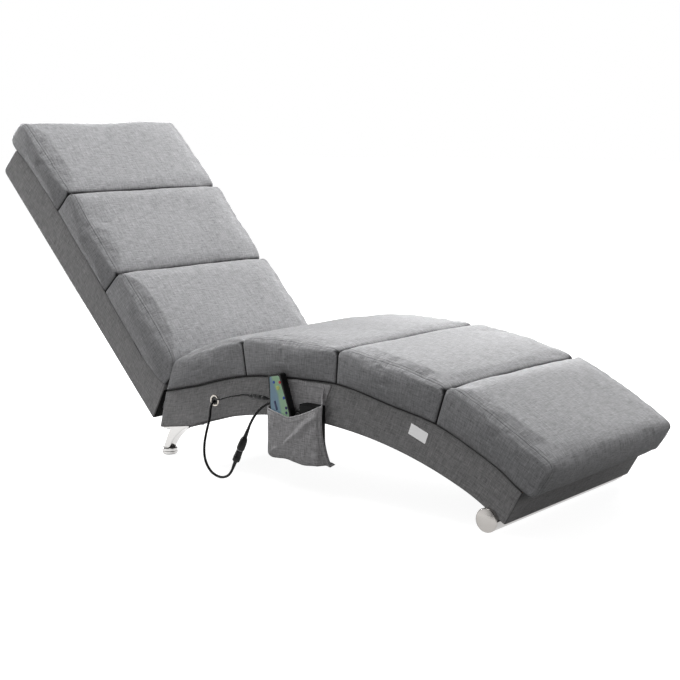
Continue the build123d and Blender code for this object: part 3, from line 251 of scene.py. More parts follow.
# The tube's satin caps are slightly domed: a dome of this rise, brushed along the tube
def domedFinish(name, node, colour, roughness, rise):
    material, tree = startMaterial(name)
    low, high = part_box(node)
    place = objectPlace(tree)
    parts = split(tree, place)
    awayX, awayZ = [calc(tree, "SUBTRACT", parts[i], (low[i] + high[i]) / 2) for i in (0, 2)]
    square = calc(tree, "ADD", calc(tree, "MULTIPLY", awayX, awayX), calc(tree, "MULTIPLY", awayZ, awayZ))
    dome = calc(tree, "MULTIPLY", square, -rise / ((high[2] - low[2]) / 2) ** 2)
    brushed = noiseAt(tree, stretched(tree, place, (40, 40, 900)), 1.0, 3.0)
    tone = blendColours(tree, brushed, [part * 0.93 for part in colour] + [1], list(colour) + [1])
    shader = makeNode(tree, "ShaderNodeBsdfPrincipled", Base_Color=tone, Metallic=1.0,
                      Roughness=addShare(tree, brushed, 0.08, roughness),
                      Normal=bumpFrom(tree, addShare(tree, brushed, 0.0002, dome), 1.0, 1.0))
    finishMaterial(tree, shader.outputs[0])
    return material


# The handset's face: blue on the cord side, turning pale green towards the other edge, in a black frame
handsetFace = {"top": (0.1726, 0.279), "lean": 11.6, "halfWidths": (0.021, 0.033), "fullAt": 0.096,
               "frame": 0.0052, "corner": 0.005, "cornerBlur": 0.0003, "blueShare": (0.27, 0.56),
               "blueFullAt": 0.055, "blend": 0.005, "blue": (0.30, 0.50, 0.66, 1),
               "green": (0.52, 0.84, 0.54, 1), "black": 0.006, "speckShare": 0.12, "speckTone": 0.6}


def faceFinish(name, face):
    material, tree = startMaterial(name)
    place = objectPlace(tree)
    parts = split(tree, place)
    overX = calc(tree, "SUBTRACT", parts[0], face["top"][0])
    overZ = calc(tree, "SUBTRACT", parts[2], face["top"][1])
    lean = radians(face["lean"])
    across = addShare(tree, overX, cos(lean), calc(tree, "MULTIPLY", overZ, sin(lean)))
    down = addShare(tree, overX, sin(lean), calc(tree, "MULTIPLY", overZ, -cos(lean)))
    halfWidth = ramp(tree, down, 0.0, face["fullAt"], *face["halfWidths"])
    share = ramp(tree, down, 0.0, face["blueFullAt"], *(2 * part - 1 for part in face["blueShare"]))
    beyond = calc(tree, "SUBTRACT", across, calc(tree, "MULTIPLY", halfWidth, share))
    speck = noiseAt(tree, place, 500, 2.0)
    tone = blendColours(tree, ramp(tree, beyond, -face["blend"], face["blend"]), face["blue"], face["green"])
    speckled = calc(tree, "MULTIPLY", speck, face["speckShare"])
    tone = blendColours(tree, speckled, tone, grey(face["speckTone"]))
    # Distance past the rounded inner edge of the frame
    inner = face["frame"] + face["corner"]
    pastSide = calc(tree, "SUBTRACT", calc(tree, "ABSOLUTE", across), halfWidth)
    outX = calc(tree, "MAXIMUM", calc(tree, "ADD", pastSide, inner), 0.0)
    outZ = calc(tree, "MAXIMUM", calc(tree, "SUBTRACT", inner, down), 0.0)
    square = calc(tree, "ADD", calc(tree, "MULTIPLY", outX, outX), calc(tree, "MULTIPLY", outZ, outZ))
    framed = ramp(tree, calc(tree, "SQRT", square), face["corner"] - face["cornerBlur"],
                  face["corner"] + face["cornerBlur"])
    tone = blendColours(tree, framed, tone, grey(face["black"]))
    shader = makeNode(tree, "ShaderNodeBsdfPrincipled", Base_Color=tone, Specular_IOR_Level=0.4,
                      Roughness=addShare(tree, speck, 0.1, 0.3), Normal=bumpFrom(tree, speck, 0.00003))
    finishMaterial(tree, shader.outputs[0])
    return material


cushionCloth = linen("cushion_linen", 0.405, tint=(1.0, 1.0, 1.03))
baseCloth = linen("base_linen", 0.40, tint=(1.015, 1.0, 1.01), topstitch=0.5)
pocketCloth = linen("pocket_linen", 0.56, tint=(1.02, 1.0, 1.02), topstitch=0.006, seamDark=0.45)
liningCloth = linen("lining_cloth", 0.008, contrast=0.4, sheen=0.0, topstitch=0.5)
thread = solidFinish("stitch_thread", (0.30, 0.30, 0.31), 0.7, grain=0.2, scale=300)
chrome = solidFinish("chrome", (0.62, 0.61, 0.60), 0.06, 1.0, grain=0.03, scale=30, relief=0.00002)
capMetal = domedFinish("satin_cap", "tube_caps", (0.60, 0.575, 0.55), 0.16, 0.006)
nickel = solidFinish("nickel", (0.62, 0.58, 0.53), 0.22, 1.0, grain=0.08, scale=90, relief=0.00003)
plateMetal = solidFinish("plate_metal", (0.60, 0.60, 0.60), 0.36, 0.85, grain=0.05, scale=40,
                         stretch=(1, 1, 14), relief=0.00005)
zinc = solidFinish("zinc", (0.62, 0.64, 0.66), 0.35, 1.0, grain=0.12, scale=140)
rubber = solidFinish("lead_rubber", (0.004, 0.004, 0.0045), 0.5, grain=0.2, scale=160, specular=0.25)
bootRubber = solidFinish("boot_rubber", (0.006, 0.006, 0.0065), 0.45, grain=0.2, scale=160, specular=0.35)
footRubber = solidFinish("foot_rubber", (0.02, 0.02, 0.02), 0.7, grain=0.2, scale=120)
softwood = solidFinish("softwood", (0.62, 0.45, 0.27), 0.6, grain=0.25, scale=18, stretch=(1, 0.08, 1))
plywood = solidFinish("plywood", (0.58, 0.42, 0.26), 0.6, grain=0.2, scale=14, stretch=(0.15, 1, 1))
blackPlastic = solidFinish("black_plastic", (0.004, 0.004, 0.0045), 0.55, grain=0.15, scale=90, specular=0.15)
shellPlastic = solidFinish("handset_plastic", (0.004, 0.004, 0.0045), 0.34, grain=0.15, scale=60,
                           relief=0.00002, specular=0.3)
ringPlastic = solidFinish("ring_plastic", (0.32, 0.32, 0.33), 0.4, grain=0.1, scale=150)
boardGreen = solidFinish("board_green", (0.02, 0.14, 0.05), 0.4, grain=0.2, scale=150)
keyBlue = solidFinish("key_blue", (0.03, 0.11, 0.55), 0.35, grain=0.1, scale=200, relief=0.00003)
keyRed = solidFinish("key_red", (0.90, 0.06, 0.08), 0.35, grain=0.1, scale=200, relief=0.00003)
keyLime = solidFinish("key_lime", (0.86, 0.95, 0.25), 0.35, grain=0.1, scale=200, relief=0.00003)
keyDark = solidFinish("key_dark", (0.012, 0.025, 0.12), 0.35, grain=0.1, scale=200, relief=0.00003)
motorPlastic = solidFinish("motor_plastic", (0.05, 0.05, 0.055), 0.45, grain=0.15, scale=80)
motorSteel = solidFinish("motor_steel", (0.62, 0.62, 0.62), 0.3, 1.0, grain=0.1, scale=120)
faceFilm = faceFinish("face_film", handsetFace)

nodeMaterials = {
    plywood: ["seat_board_left", "seat_board_right", "back_board_left", "back_board_right", "seat_deck",
              "back_deck"],
    softwood: ["seat_rails", "back_rails"],
    zinc: ["join_plates", "join_bolts", "wood_screws"],
    chrome: ["rear_leg_left", "rear_leg_right", "front_tube"],
    capMetal: ["tube_caps"],
    nickel: ["eyelet"],
    plateMetal: ["side_plate"],
    footRubber: ["foot_pads"],
    blackPlastic: ["control_box", "power_adapter"],
    bootRubber: ["handset_relief"],
    shellPlastic: ["handset_front", "handset_back"],
    faceFilm: ["handset_face"],
    boardGreen: ["handset_board"],
    keyBlue: ["timer_key", "heat_key"],
    keyRed: ["power_key"],
    keyLime: ["program_key"],
    keyDark: ["zone_up_key", "zone_down_key", "speed_key"],
    motorPlastic: ["motor_housings"],
    motorSteel: ["motor_cans", "neck_rotor", "upper_back_rotor", "lumbar_rotor", "thigh_rotor", "calf_rotor"],
}
for material, names in nodeMaterials.items():
    for name in names:
        mesh = nodes[name].data
        mesh.materials.clear()
        mesh.materials.append(material)
print("materials made")


def newPiece(name, data, material, body="lounger"):
    piece = bpy.data.objects.new(name, data)
    scene.collection.objects.link(piece)
    data.materials.append(material)
    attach(piece, body)
    return piece


# Leads: control points are the solids' own routes as (x, out from the middle, z)
leads = {
    "handset_lead_lower": {"diameter": 0.0065, "length": 0.288, "farEnd": "connector", "points": [
        (-0.0689, -0.262, 0.177), (-0.0689, -0.278, 0.177), (-0.0639, -0.293, 0.163),
        (-0.0544, -0.304, 0.140), (-0.0524, -0.320, 0.106), (-0.0514, -0.330, 0.070),
        (-0.0424, -0.336, 0.038), (-0.0214, -0.3375, 0.013), (0.0051, -0.337, 0.004),
        (0.0281, -0.3355, 0.0064), (0.04487, -0.3333, 0.01802), (0.0496, -0.331, 0.031)]},
    "handset_lead_upper": {"diameter": 0.0065, "length": 0.286, "farEnd": "object", "points": [
        (0.0886, -0.312, 0.138), (0.0954, -0.3087, 0.1565), (0.1101, -0.299, 0.182),
        (0.1301, -0.290, 0.1985), (0.1531, -0.2855, 0.2035), (0.1696, -0.284, 0.190),
        (0.1686, -0.2835, 0.156), (0.1691, -0.2855, 0.121), (0.1696, -0.2895, 0.094),
        (0.1781, -0.293, 0.083), (0.1913, -0.297, 0.080), (0.2036, -0.3005, 0.0857),
        (0.2098, -0.3022, 0.0978), (0.2068, -0.3022, 0.1125)]},
    "supply_lead_lower": {"diameter": 0.004, "length": 0.1445, "farEnd": "connector", "points": [
        (-0.0629, -0.262, 0.181), (-0.0629, -0.277, 0.181), (-0.0519, -0.2865, 0.1835),
        (-0.0319, -0.2885, 0.1875), (-0.0029, -0.2885, 0.1975), (0.0271, -0.287, 0.204),
        (0.0456, -0.284, 0.209), (0.0606, -0.284, 0.209)]},
    "supply_lead_upper": {"diameter": 0.004, "length": 0.117, "farEnd": "object", "points": [
        (0.1261, -0.284, 0.209), (0.1411, -0.284, 0.209), (0.1571, -0.2844, 0.211),
        (0.1761, -0.2848, 0.212), (0.1951, -0.286, 0.208), (0.2111, -0.2872, 0.1975),
        (0.2236, -0.288, 0.192), (0.2386, -0.288, 0.192)]},
}


def leadPoint(lead, index):
    x, out, z = lead["points"][index]
    return Vector((x, midY + out, z))


def makeLead(node):
    lead = leads[node]
    name = node + "_line"
    curve = bpy.data.curves.new(name, "CURVE")
    curve.dimensions = "3D"
    spline = curve.splines.new("NURBS")
    spline.points.add(len(lead["points"]) - 1)
    for i in range(len(lead["points"])):
        spline.points[i].co = (*leadPoint(lead, i), 1)
    spline.order_u = 3
    spline.use_endpoint_u = True
    spline.resolution_u = 12
    curve.bevel_depth = lead["diameter"] / 2
    curve.bevel_resolution = 5
    piece = newPiece(name, curve, rubber)
    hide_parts(node)


# Turned bodies: rings of a profile (distance along, radius) round an axis, closed at both ends
def turnedBody(name, start, axis, profile, material, sides=32):
    side = axis.orthogonal().normalized()
    other = axis.cross(side)
    points, faces = [], []
    for run, radius in profile:
        for k in range(sides):
            turn = 2 * pi * k / sides
            points.append(start + axis * run + (side * cos(turn) + other * sin(turn)) * radius)
    for i in range(len(profile) - 1):
        for k in range(sides):
            j = (k + 1) % sides
            faces.append((i * sides + k, i * sides + j, (i + 1) * sides + j, (i + 1) * sides + k))
    faces.append(tuple(reversed(range(sides))))
    faces.append(tuple(range(len(points) - sides, len(points))))
    mesh = bpy.data.meshes.new(name)
    mesh.from_pydata(points, [], faces)
    mesh.polygons.foreach_set("use_smooth", [len(face) == 4 for face in faces])
    return newPiece(name, mesh, material)


# A boot with rings moulded round it, from one radius to another. Each ring is a list of (share, how sunk)
ribShape = [(0.0, 1), (0.18, 0), (0.55, 0), (0.73, 1)]


def ribbedBoot(first, last, startRadius, endRadius, pitch, depth):
    count = round(abs(last - first) / pitch)
    profile = []
    for i in range(count):
        for share, sunk in ribShape:
            run = first + (last - first) * (i + share) / count
            radius = startRadius + (endRadius - startRadius) * (i + share) / count
            profile.append((run, radius - depth * sunk))
    profile.append((last, endRadius))
    return profile


# The in-line fittings between a lower and an upper lead: profiles as (distance from the lower lead, radius)
def makeFittings(start, axis, sides, fittings):
    made = []
    for name, (profile, material, node) in fittings.items():
        body = turnedBody(name, start, axis, profile, material, sides)
        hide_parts(node)
        made.append(body)
    return made


def leadGap(lower, upper):
    start = leadPoint(leads[lower], -1)
    gap = leadPoint(leads[upper], 0) - start
    return start, gap.normalized(), gap.length


start, axis, run = leadGap("handset_lead_lower", "handset_lead_upper")
lowerBoot = ribbedBoot(0.0004, 0.019, 0.0037, 0.0049, 0.0031, 0.0006)
upperBoot = ribbedBoot(0.0895, run - 0.0004, 0.0053, 0.0038, 0.0031, 0.0006)
socketBody, socketRing, plugBody = makeFittings(start, axis, 32, {
    "lead_socket_body": ([(0, 0.0034)] + lowerBoot + [
        (0.0200, 0.0054), (0.0215, 0.0082), (0.0228, 0.0091), (0.026, 0.0095), (0.034, 0.0095),
        (0.035, 0.0089), (0.046, 0.0086), (0.0505, 0.0082), (0.0512, 0.0076)], bootRubber, "lead_socket"),
    "lead_socket_ring": ([
        (0.0508, 0.0070), (0.0510, 0.0082), (0.0516, 0.0086), (0.0532, 0.0086), (0.0538, 0.0082),
        (0.0540, 0.0070)], ringPlastic, "lead_socket"),
    "lead_plug_body": ([
        (0.0538, 0.0084), (0.0548, 0.0095), (0.057, 0.0100), (0.071, 0.0099), (0.0722, 0.0094),
        (0.078, 0.0092), (0.083, 0.0080), (0.0865, 0.0062), (0.0885, 0.0054)] + upperBoot + [
        (run, 0.0034)], bootRubber, "lead_plug"),
})
start, axis, run = leadGap("supply_lead_lower", "supply_lead_upper")
lowerBoot = ribbedBoot(0.0004, 0.008, 0.0026, 0.0038, 0.0019, 0.0005)
upperBoot = ribbedBoot(0.058, run - 0.0002, 0.0038, 0.0027, 0.0019, 0.0005)
supplySocket, supplyPlug = makeFittings(start, axis, 24, {
    "supply_socket_body": ([(0, 0.0022)] + lowerBoot + [
        (0.0085, 0.0043), (0.0095, 0.0046), (0.0160, 0.0046), (0.0166, 0.0042), (0.0196, 0.0042),
        (0.0202, 0.0046), (0.0300, 0.0046), (0.0308, 0.0042)], bootRubber, "supply_socket"),
    "supply_plug_body": ([
        (0.0310, 0.0044), (0.0318, 0.0049), (0.0440, 0.0050), (0.0446, 0.0045), (0.0470, 0.0045),
        (0.0476, 0.0050), (0.0560, 0.0049), (0.0575, 0.0040)] + upperBoot + [
        (run, 0.0022)], bootRubber, "supply_plug"),
})
makeLead("handset_lead_lower")
makeLead("handset_lead_upper")
makeLead("supply_lead_lower")
makeLead("supply_lead_upper")
print("leads made")

# A black disc behind the eyelet's ring: painted shade for the dark inside of its hole
holeShade = {"sink": 0.004, "profile": [(0.0, 0.0093), (0.0044, 0.0093), (0.0046, 0.0088)]}
low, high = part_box("eyelet")
start = Vector(((low[0] + high[0]) / 2, sideY + holeShade["sink"], (low[2] + high[2]) / 2))
turnedBody("eyelet_hole_shade", start, Vector((0, -1, 0)), holeShade["profile"], bootRubber)


# Small shaping helpers
def smooth(value, low, high):
    share = max(0.0, min(1.0, (value - low) / (high - low)))
    return share * share * (3 - 2 * share)


# A smooth line through a table of (share, value)
def fromTable(table, at):
    if at <= table[0][0]:
        return table[0][1]
    for i in range(len(table) - 1):
        (s0, v0), (s1, v1) = table[i], table[i + 1]
        if at <= s1:
            before = table[max(0, i - 1)]
            after = table[min(len(table) - 1, i + 2)]
            slope0 = (v1 - before[1]) / (s1 - before[0])
            slope1 = (after[1] - v0) / (after[0] - s0)
            span = s1 - s0
            t = (at - s0) / span
            return (v0 * (1 + 2 * t) * (1 - t) ** 2 + v1 * (3 - 2 * t) * t * t
                    + span * (slope0 * t * (1 - t) ** 2 - slope1 * (1 - t) * t * t))
    return table[-1][1]


def fillGaps(stops, step):
    filled = [stops[0]]
    for first, last in zip(stops, stops[1:]):
        count = max(1, ceil((last - first) / step - 1e-6))
        filled += [first + (last - first) * (i + 1) / count for i in range(count)]
    return filled


def arcInset(radius, away):
    return radius - sqrt(radius * radius - (radius - away) ** 2) if away < radius else 0.0


# Upholstered blocks are laid out flat first, as (along, across, up). A loop is the side view's outline: along
# the bottom, up the far end, back along the top and down the near end, with round corners
def outlineLoop(block, drawn, corners):
    alongCount, upCount, cornerCount = block["counts"]
    top, bottom, start, end = drawn
    left, right, low, high = start, block["length"] - end, bottom, block["height"] - top
    span = min(right - left, high - low)
    sizes = [max(0.0003, min(radius, span / 2.05)) for radius in corners]
    centres = [(left + sizes[0], low + sizes[0]), (right - sizes[1], low + sizes[1]),
               (right - sizes[2], high - sizes[2]), (left + sizes[3], high - sizes[3])]
    loop = []
    for side in range(4):
        here, there = centres[side], centres[(side + 1) % 4]
        near, far = sizes[side], sizes[(side + 1) % 4]
        outX, outY = ((0, -1), (1, 0), (0, 1), (-1, 0))[side]
        first = (here[0] + outX * near, here[1] + outY * near)
        last = (there[0] + outX * far, there[1] + outY * far)
        count = alongCount if side % 2 == 0 else upCount
        for i in range(count):
            share = i / (count - 1)
            loop.append(tuple(a + (b - a) * share for a, b in zip(first, last)))
        for i in range(1, cornerCount + 1):
            turn = radians(-90 + 90 * side + 90 * i / (cornerCount + 1))
            loop.append((there[0] + far * cos(turn), there[1] + far * sin(turn)))
    return loop


# How the cloth of every block lies, in metres and shares: the seam's sewn strip, the hollow where a cushion
# meets its neighbour, the gathers beside the seams, the far side's puckers and the painted shade of the
# creases
clothLie = {
    "seamHalf": 0.0013, "stitchGap": 0.0075, "edgeStep": 0.003, "afterEdge": (0.012, 0.03), "swayPitch": 6,
    "dipRun": 0.016, "dipFrom": (0.001, 0.014), "pucker": {"pitch": 95, "middle": 0.006, "run": 0.022},
    "gatherPitch": (62, 48), "gatherRun": (0.020, 0.018), "farGather": 2.2, "bulgeRun": 0.05,
    "sunkHalf": 0.0015, "endZone": 0.004, "creaseRun": 0.005, "creaseFade": (0.001, 0.005),
    "footShade": (0.0012, 0.0055), "topShade": (0.0046, 0.0010), "underShade": (0.045, 0.010),
    "heldFoot": 0.010, "heldEnd": 0.003, "heldDown": 0.028, "partingRun": 0.05, "swayRun": 0.06,
    "gatherFrom": 0.006, "upperFrom": 0.35, "farFrom": -0.6, "nearEnd": 0.8, "cornerRun": 0.075,
}
# A side panel: rings drawn in to a line along its middle, how far they stop short, and their least corner
panelLook = {"rings": 7, "short": 0.0006, "leastCorner": 0.0003, "crowding": 1.25}


# How far the cloth stands over the plain block at one spot
def clothLift(block, spot, fullness):
    u, v, w, share, upper = spot.u, spot.v, spot.w, spot.share, spot.upper
    lift = upper * (fromTable(block["seamHeights"], share) - spot.seamTop) if "seamHeights" in block else 0.0
    startFall, endFall = block["fall"]
    hump = (1 - startFall * max(0.0, -u) ** 4) * (1 - endFall * max(0.0, u) ** 4)
    lift += upper * block["crown"] * fullness * hump * (1 - abs(v) ** 4)
    lift += upper * block.get("farLift", 0.0) * smooth(v, clothLie["farFrom"], 1.0) * hump
    table, placeOf = block["parting"]
    parting = fromTable(table, placeOf(spot.a)) * (1 - smooth(w, 0.0, clothLie["partingRun"]))
    lift += parting * (spot.rise if block["partsAtTop"] else (1 - spot.rise) ** 2)
    # Slow hollows all over, and a dip where the block meets its neighbour
    pitch = clothLie["swayPitch"]
    sway = noise.noise(Vector((spot.a * pitch, spot.b * pitch, block["seed"])))
    lift += upper * block["sway"] * sway * smooth(w, 0.0, clothLie["swayRun"])
    toStart, toEnd = max(0.0, spot.a), max(0.0, block["length"] - spot.a)
    dip = sum(deep * exp(-(to / clothLie["dipRun"]) ** 1.5)
              for deep, to in zip(block["dips"], (toStart, toEnd)))
    lift -= upper * dip * smooth(w, *clothLie["dipFrom"])
    pucker = block.get("farPucker", 0.0)
    if pucker and spot.b > 0:
        look = clothLie["pucker"]
        sewn = noise.noise(Vector((spot.a * look["pitch"], 5.0, spot.b * 4)))
        sewn *= smooth(share, 0.1, 0.35) * (1 - smooth(share, 0.8, 1.0))
        lift += upper * pucker * sewn * exp(-((w - look["middle"]) / look["run"]) ** 2)
    if block["gather"]:
        sidePitch, endPitch = clothLie["gatherPitch"]
        sideRun, endRun = clothLie["gatherRun"]
        ends = min(abs(spot.a), abs(block["length"] - spot.a))
        fromSides = noise.noise(Vector((spot.a * sidePitch, 3.1 + block["seed"], spot.b * 5)))
        fromSides *= exp(-w / sideRun)
        fromSides *= (clothLie["farGather"] if spot.b > 0 else 1.0) * smooth(w, 0.0, clothLie["gatherFrom"])
        fromEnds = noise.noise(Vector((spot.b * endPitch, 9.7 + block["seed"], spot.a * 6)))
        fromEnds *= exp(-ends / endRun)
        lift += upper * block["gather"] * (fromSides + fromEnds)
    return lift


# Painted shade where neighbours meet: down the ends that touch, along the foot and under the cushions
def paintedShadeAt(block, spot):
    length, height = block["length"], block["height"]
    planStart, planEnd = block["planRound"]
    atStart, atEnd, atFoot, atTop = block["creased"]
    fallen = smooth(height - spot.c, block["creaseFrom"], block["creaseFrom"] + clothLie["creaseRun"])
    fallen *= smooth(spot.w, *clothLie["creaseFade"])
    deep = 0.0
    if atStart and spot.a < clothLie["endZone"] + planStart:
        deep = max(deep, fallen)
    if atEnd and spot.a > length - clothLie["endZone"] - planEnd:
        deep = max(deep, fallen)
    if atFoot:
        deep = max(deep, 1 - smooth(spot.c, *clothLie["footShade"]))
    if atTop:
        deep = max(deep, smooth(spot.c, *(height - down for down in clothLie["topShade"])))
        # Painted shadow on the base's front end, under the cushion that overhangs it
        if spot.a > length - clothLie["heldEnd"]:
            under = smooth(spot.c, *(height - down for down in clothLie["underShade"]))
            deep = max(deep, block["underPadShade"] * under)
    return deep


# The foot, and the ends low down, stay where they are while the cloth settles
def isHeld(block, spot):
    atStart, atEnd = block["creased"][:2]
    low = block["height"] - spot.c > clothLie["heldDown"]
    first = atStart and spot.a < clothLie["heldEnd"]
    last = atEnd and spot.a > block["length"] - clothLie["heldEnd"]
    return spot.c < clothLie["heldFoot"] or (low and (first or last))


# Lays out one block: its points, faces, weave places, seam distances and painted crease shade
def layOut(block, fullness=1.0):
    length, height, half = block["length"], block["height"], block["half"]
    edge, foot = block["edgeRound"], block["footRound"]
    planStart, planEnd = block["planRound"]
    alongCount, upCount, cornerCount = block["counts"]
    seamRun = block["seamRun"]
    quarter = edge * pi / 2
    stitchRun = seamRun + block.get("stitchGap", clothLie["stitchGap"])
    marks = [0.0, seamRun - clothLie["seamHalf"], seamRun, seamRun + clothLie["seamHalf"], stitchRun]
    past = (quarter,) + tuple(quarter + run for run in clothLie["afterEdge"])
    marks += [run for run in past if run > stitchRun + 0.0008]
    near = fillGaps(marks, clothLie["edgeStep"])
    halfRun = quarter + half - edge
    runs = near + fillGaps([near[-1], halfRun], block["step"])[1:]
    stations = [(-1, run) for run in runs] + [(1, run) for run in reversed(runs[:-1])]
    seamTop = height - edge + edge * sin(seamRun / edge) if seamRun < quarter else height
    laid = {"points": [], "away": [], "deep": [], "faces": [], "weave": [], "held": [], "rails": []}

    # Puts one point: (a, b, c) on the plain block, at a distance from its seam, w in from its side
    def put(a, b, c, away, w):
        side = 1 if b > 0 else -1
        rise = max(0.0, min(1.0, c / height))
        spot = SimpleNamespace(a=a, b=b, c=c, w=w, u=2 * a / length - 1, v=b / half, rise=rise,
                               seamTop=seamTop, share=max(0.0, min(1.0, a / length)),
                               upper=smooth(rise, clothLie["upperFrom"], 1.0))
        lift = clothLift(block, spot, fullness)
        swell = block["bulge"][0 if b < 0 else 1] * smooth(half - abs(b), clothLie["bulgeRun"], 0.0)
        swell *= (4 * rise * (1 - rise)) ** 0.6 * (1 - abs(spot.u) ** 6)
        outB = b + swell * side
        startA, endA = block["endBulge"]
        belly = (4 * rise * (1 - rise)) ** 0.8 * (1 - abs(spot.v) ** 6)
        outA = a + endA * belly * smooth(spot.u, clothLie["nearEnd"], 1.0)
        outA -= startA * belly * smooth(-spot.u, clothLie["nearEnd"], 1.0)
        # The seam sinks a little where the cloths meet
        sunk = block["seamSunk"] * max(0.0, 1 - abs(away) / clothLie["sunkHalf"])
        turn = min(pi / 2, (away + seamRun) / edge) if away + seamRun > 0 else 0.0
        outB -= sunk * cos(turn) * side
        lift -= sunk * sin(turn) * spot.upper
        laid["points"].append(Vector((outA, outB, c + lift)))
        laid["away"].append(away)
        laid["deep"].append(paintedShadeAt(block, spot))
        laid["held"].append(isHeld(block, spot))
        return len(laid["points"]) - 1

    def face(corners, weave):
        if len(set(corners)) > 2:
            laid["faces"].append(corners)
            laid["weave"].append(weave)

    def cornersAt(w, sign):
        share = smooth(w, edge * 0.6, clothLie["cornerRun"])
        panel = block["panelCorners"] if sign < 0 else block.get("farCorners", block["panelCorners"])
        return [a + (b - a) * share for a, b in zip(panel, block["middleCorners"])]

    whole = 2 * halfRun
    rings = []
    for sign, run in stations:
        if run < quarter:
            turn = run / edge
            w, drop = edge * (1 - cos(turn)), edge * (1 - sin(turn))
        else:
            w, drop = edge + run - quarter, 0.0
        drawn = (drop, arcInset(foot, w), arcInset(planStart, w), arcInset(planEnd, w))
        loop = outlineLoop(block, drawn, cornersAt(w, sign))
        ring = [put(a, sign * (half - w), c, run - seamRun, w) for a, c in loop]
        rings.append((ring, run if sign < 0 else whole - run))
        if abs(run - stitchRun) < 1e-7:
            downEnd, downStart = block["railDown"]
            first = alongCount + cornerCount + upCount - downEnd
            laid["rails"].append(ring[first:first + downEnd + 2 * cornerCount + alongCount + downStart])
    middle = outlineLoop(block, (0, 0, 0, 0), block["middleCorners"])
    count = len(middle)
    lengths = [0.0]
    for i in range(count):
        (a0, c0), (a1, c1) = middle[i], middle[(i + 1) % count]
        lengths.append(lengths[-1] + sqrt((a1 - a0) ** 2 + (c1 - c0) ** 2))
    for (ring, here), (following, there) in zip(rings, rings[1:]):
        for i in range(count):
            j = (i + 1) % count
            face((ring[i], ring[j], following[j], following[i]),
                 ((lengths[i], here), (lengths[i + 1], here), (lengths[i + 1], there), (lengths[i], there)))

    # Side panels: rings drawn in to a line, and patches that close it
    inward = (height - edge - foot) / 2 - panelLook["short"]
    for sign, outer in ((-1, rings[0][0]), (1, rings[-1][0])):
        order = slice(None, None, sign)

        def panelFace(corners):
            face(tuple(vertex for vertex, _ in corners[order]),
                 tuple((a, sign * 2 + c) for _, (a, c) in corners[order]))

        drawn = (edge, foot, planStart, planEnd)
        previous = list(zip(outer, outlineLoop(block, drawn, cornersAt(0.0, sign))))
        for k in range(1, panelLook["rings"] + 1):
            more = inward * (1 - (1 - k / panelLook["rings"]) ** panelLook["crowding"])
            corners = [max(panelLook["leastCorner"], radius - more) for radius in cornersAt(0.0, sign)]
            ring = [(put(a, sign * half, c, -more - seamRun, 0.0), (a, c))
                    for a, c in outlineLoop(block, [inset + more for inset in drawn], corners)]
            for i in range(count):
                j = (i + 1) % count
                panelFace((previous[i], previous[j], ring[j], ring[i]))
            previous = ring
        topStart = alongCount + cornerCount + upCount + cornerCount
        patches = [(i, i + 1, topStart + alongCount - 2 - i, topStart + alongCount - 1 - i)
                   for i in range(alongCount - 1)]
        patches.append(range(alongCount - 1, topStart + 1))
        patches.append([*range(topStart + alongCount - 1, count), 0])
        for patch in patches:
            panelFace([previous[m] for m in patch])
    return laid


# Cloth under pressure swells each laid-out cushion and draws its cloth up along the seams
clothSettings = {"frames": 14, "pressure": 1.2, "stiffness": 40.0, "shear": 5, "bending": 2.0, "mass": 0.35,
                 "quality": 4, "airDamping": 2, "seamShrink": 0.006, "seamZone": 0.002, "cap": 0.005}


def settle(layouts):
    made = []
    for name, laid in layouts.items():
        mesh = bpy.data.meshes.new(name + "_slack")
        mesh.from_pydata(laid["points"], [], [face[::-1] for face in laid["faces"]])
        piece = bpy.data.objects.new(name + "_slack", mesh)
        scene.collection.objects.link(piece)
        held = piece.vertex_groups.new(name="held")
        drawn = piece.vertex_groups.new(name="drawn")
        held.add([i for i, firm in enumerate(laid["held"]) if firm], 1.0, "REPLACE")
        drawn.add([i for i, away in enumerate(laid["away"]) if abs(away) < clothSettings["seamZone"]], 1.0,
                  "REPLACE")
        cloth = piece.modifiers.new("cloth", "CLOTH")
        cloth.point_cache.frame_start = 1
        cloth.point_cache.frame_end = clothSettings["frames"]
        rules = cloth.settings
        rules.quality = clothSettings["quality"]
        rules.mass = clothSettings["mass"]
        rules.tension_stiffness = clothSettings["stiffness"]
        rules.compression_stiffness = clothSettings["stiffness"]
        rules.shear_stiffness = clothSettings["shear"]
        rules.bending_stiffness = clothSettings["bending"]
        rules.air_damping = clothSettings["airDamping"]
        rules.use_pressure = True
        rules.uniform_pressure_force = clothSettings["pressure"]
        rules.effector_weights.gravity = 0
        rules.vertex_group_mass = "held"
        rules.vertex_group_shrink = "drawn"
        rules.shrink_min = 0.0
        rules.shrink_max = clothSettings["seamShrink"]
        cloth.collision_settings.use_collision = False
        made.append((name, laid, piece))
    for number in range(1, clothSettings["frames"] + 1):
        scene.frame_set(number)
    graph = bpy.context.evaluated_depsgraph_get()
    for name, laid, piece in made:
        swollen = piece.evaluated_get(graph).to_mesh()
        for i, vertex in enumerate(swollen.vertices):
            move = vertex.co - laid["points"][i]
            if move.length > clothSettings["cap"]:
                move *= clothSettings["cap"] / move.length
            laid["points"][i] = laid["points"][i] + move
        piece.evaluated_get(graph).to_mesh_clear()
        mesh = piece.data
        bpy.data.objects.remove(piece)
        bpy.data.meshes.remove(mesh)
    scene.frame_set(1)


# A cloth's mesh: its faces with their weave places, and each point's seam distance and painted crease shade
def clothMesh(name, points, faces, weave, away, deep):
    mesh = bpy.data.meshes.new(name)
    mesh.from_pydata(points, [], faces)
    flat = [value for corners in weave for uv in corners for value in uv]
    mesh.uv_layers.new(name="weave").data.foreach_set("uv", flat)
    for label, values in (("fromSeam", away), ("paintedShade", deep)):
        mesh.attributes.new(label, "FLOAT", "POINT").data.foreach_set("value", values)
    mesh.polygons.foreach_set("use_smooth", [True] * len(mesh.polygons))
    return mesh


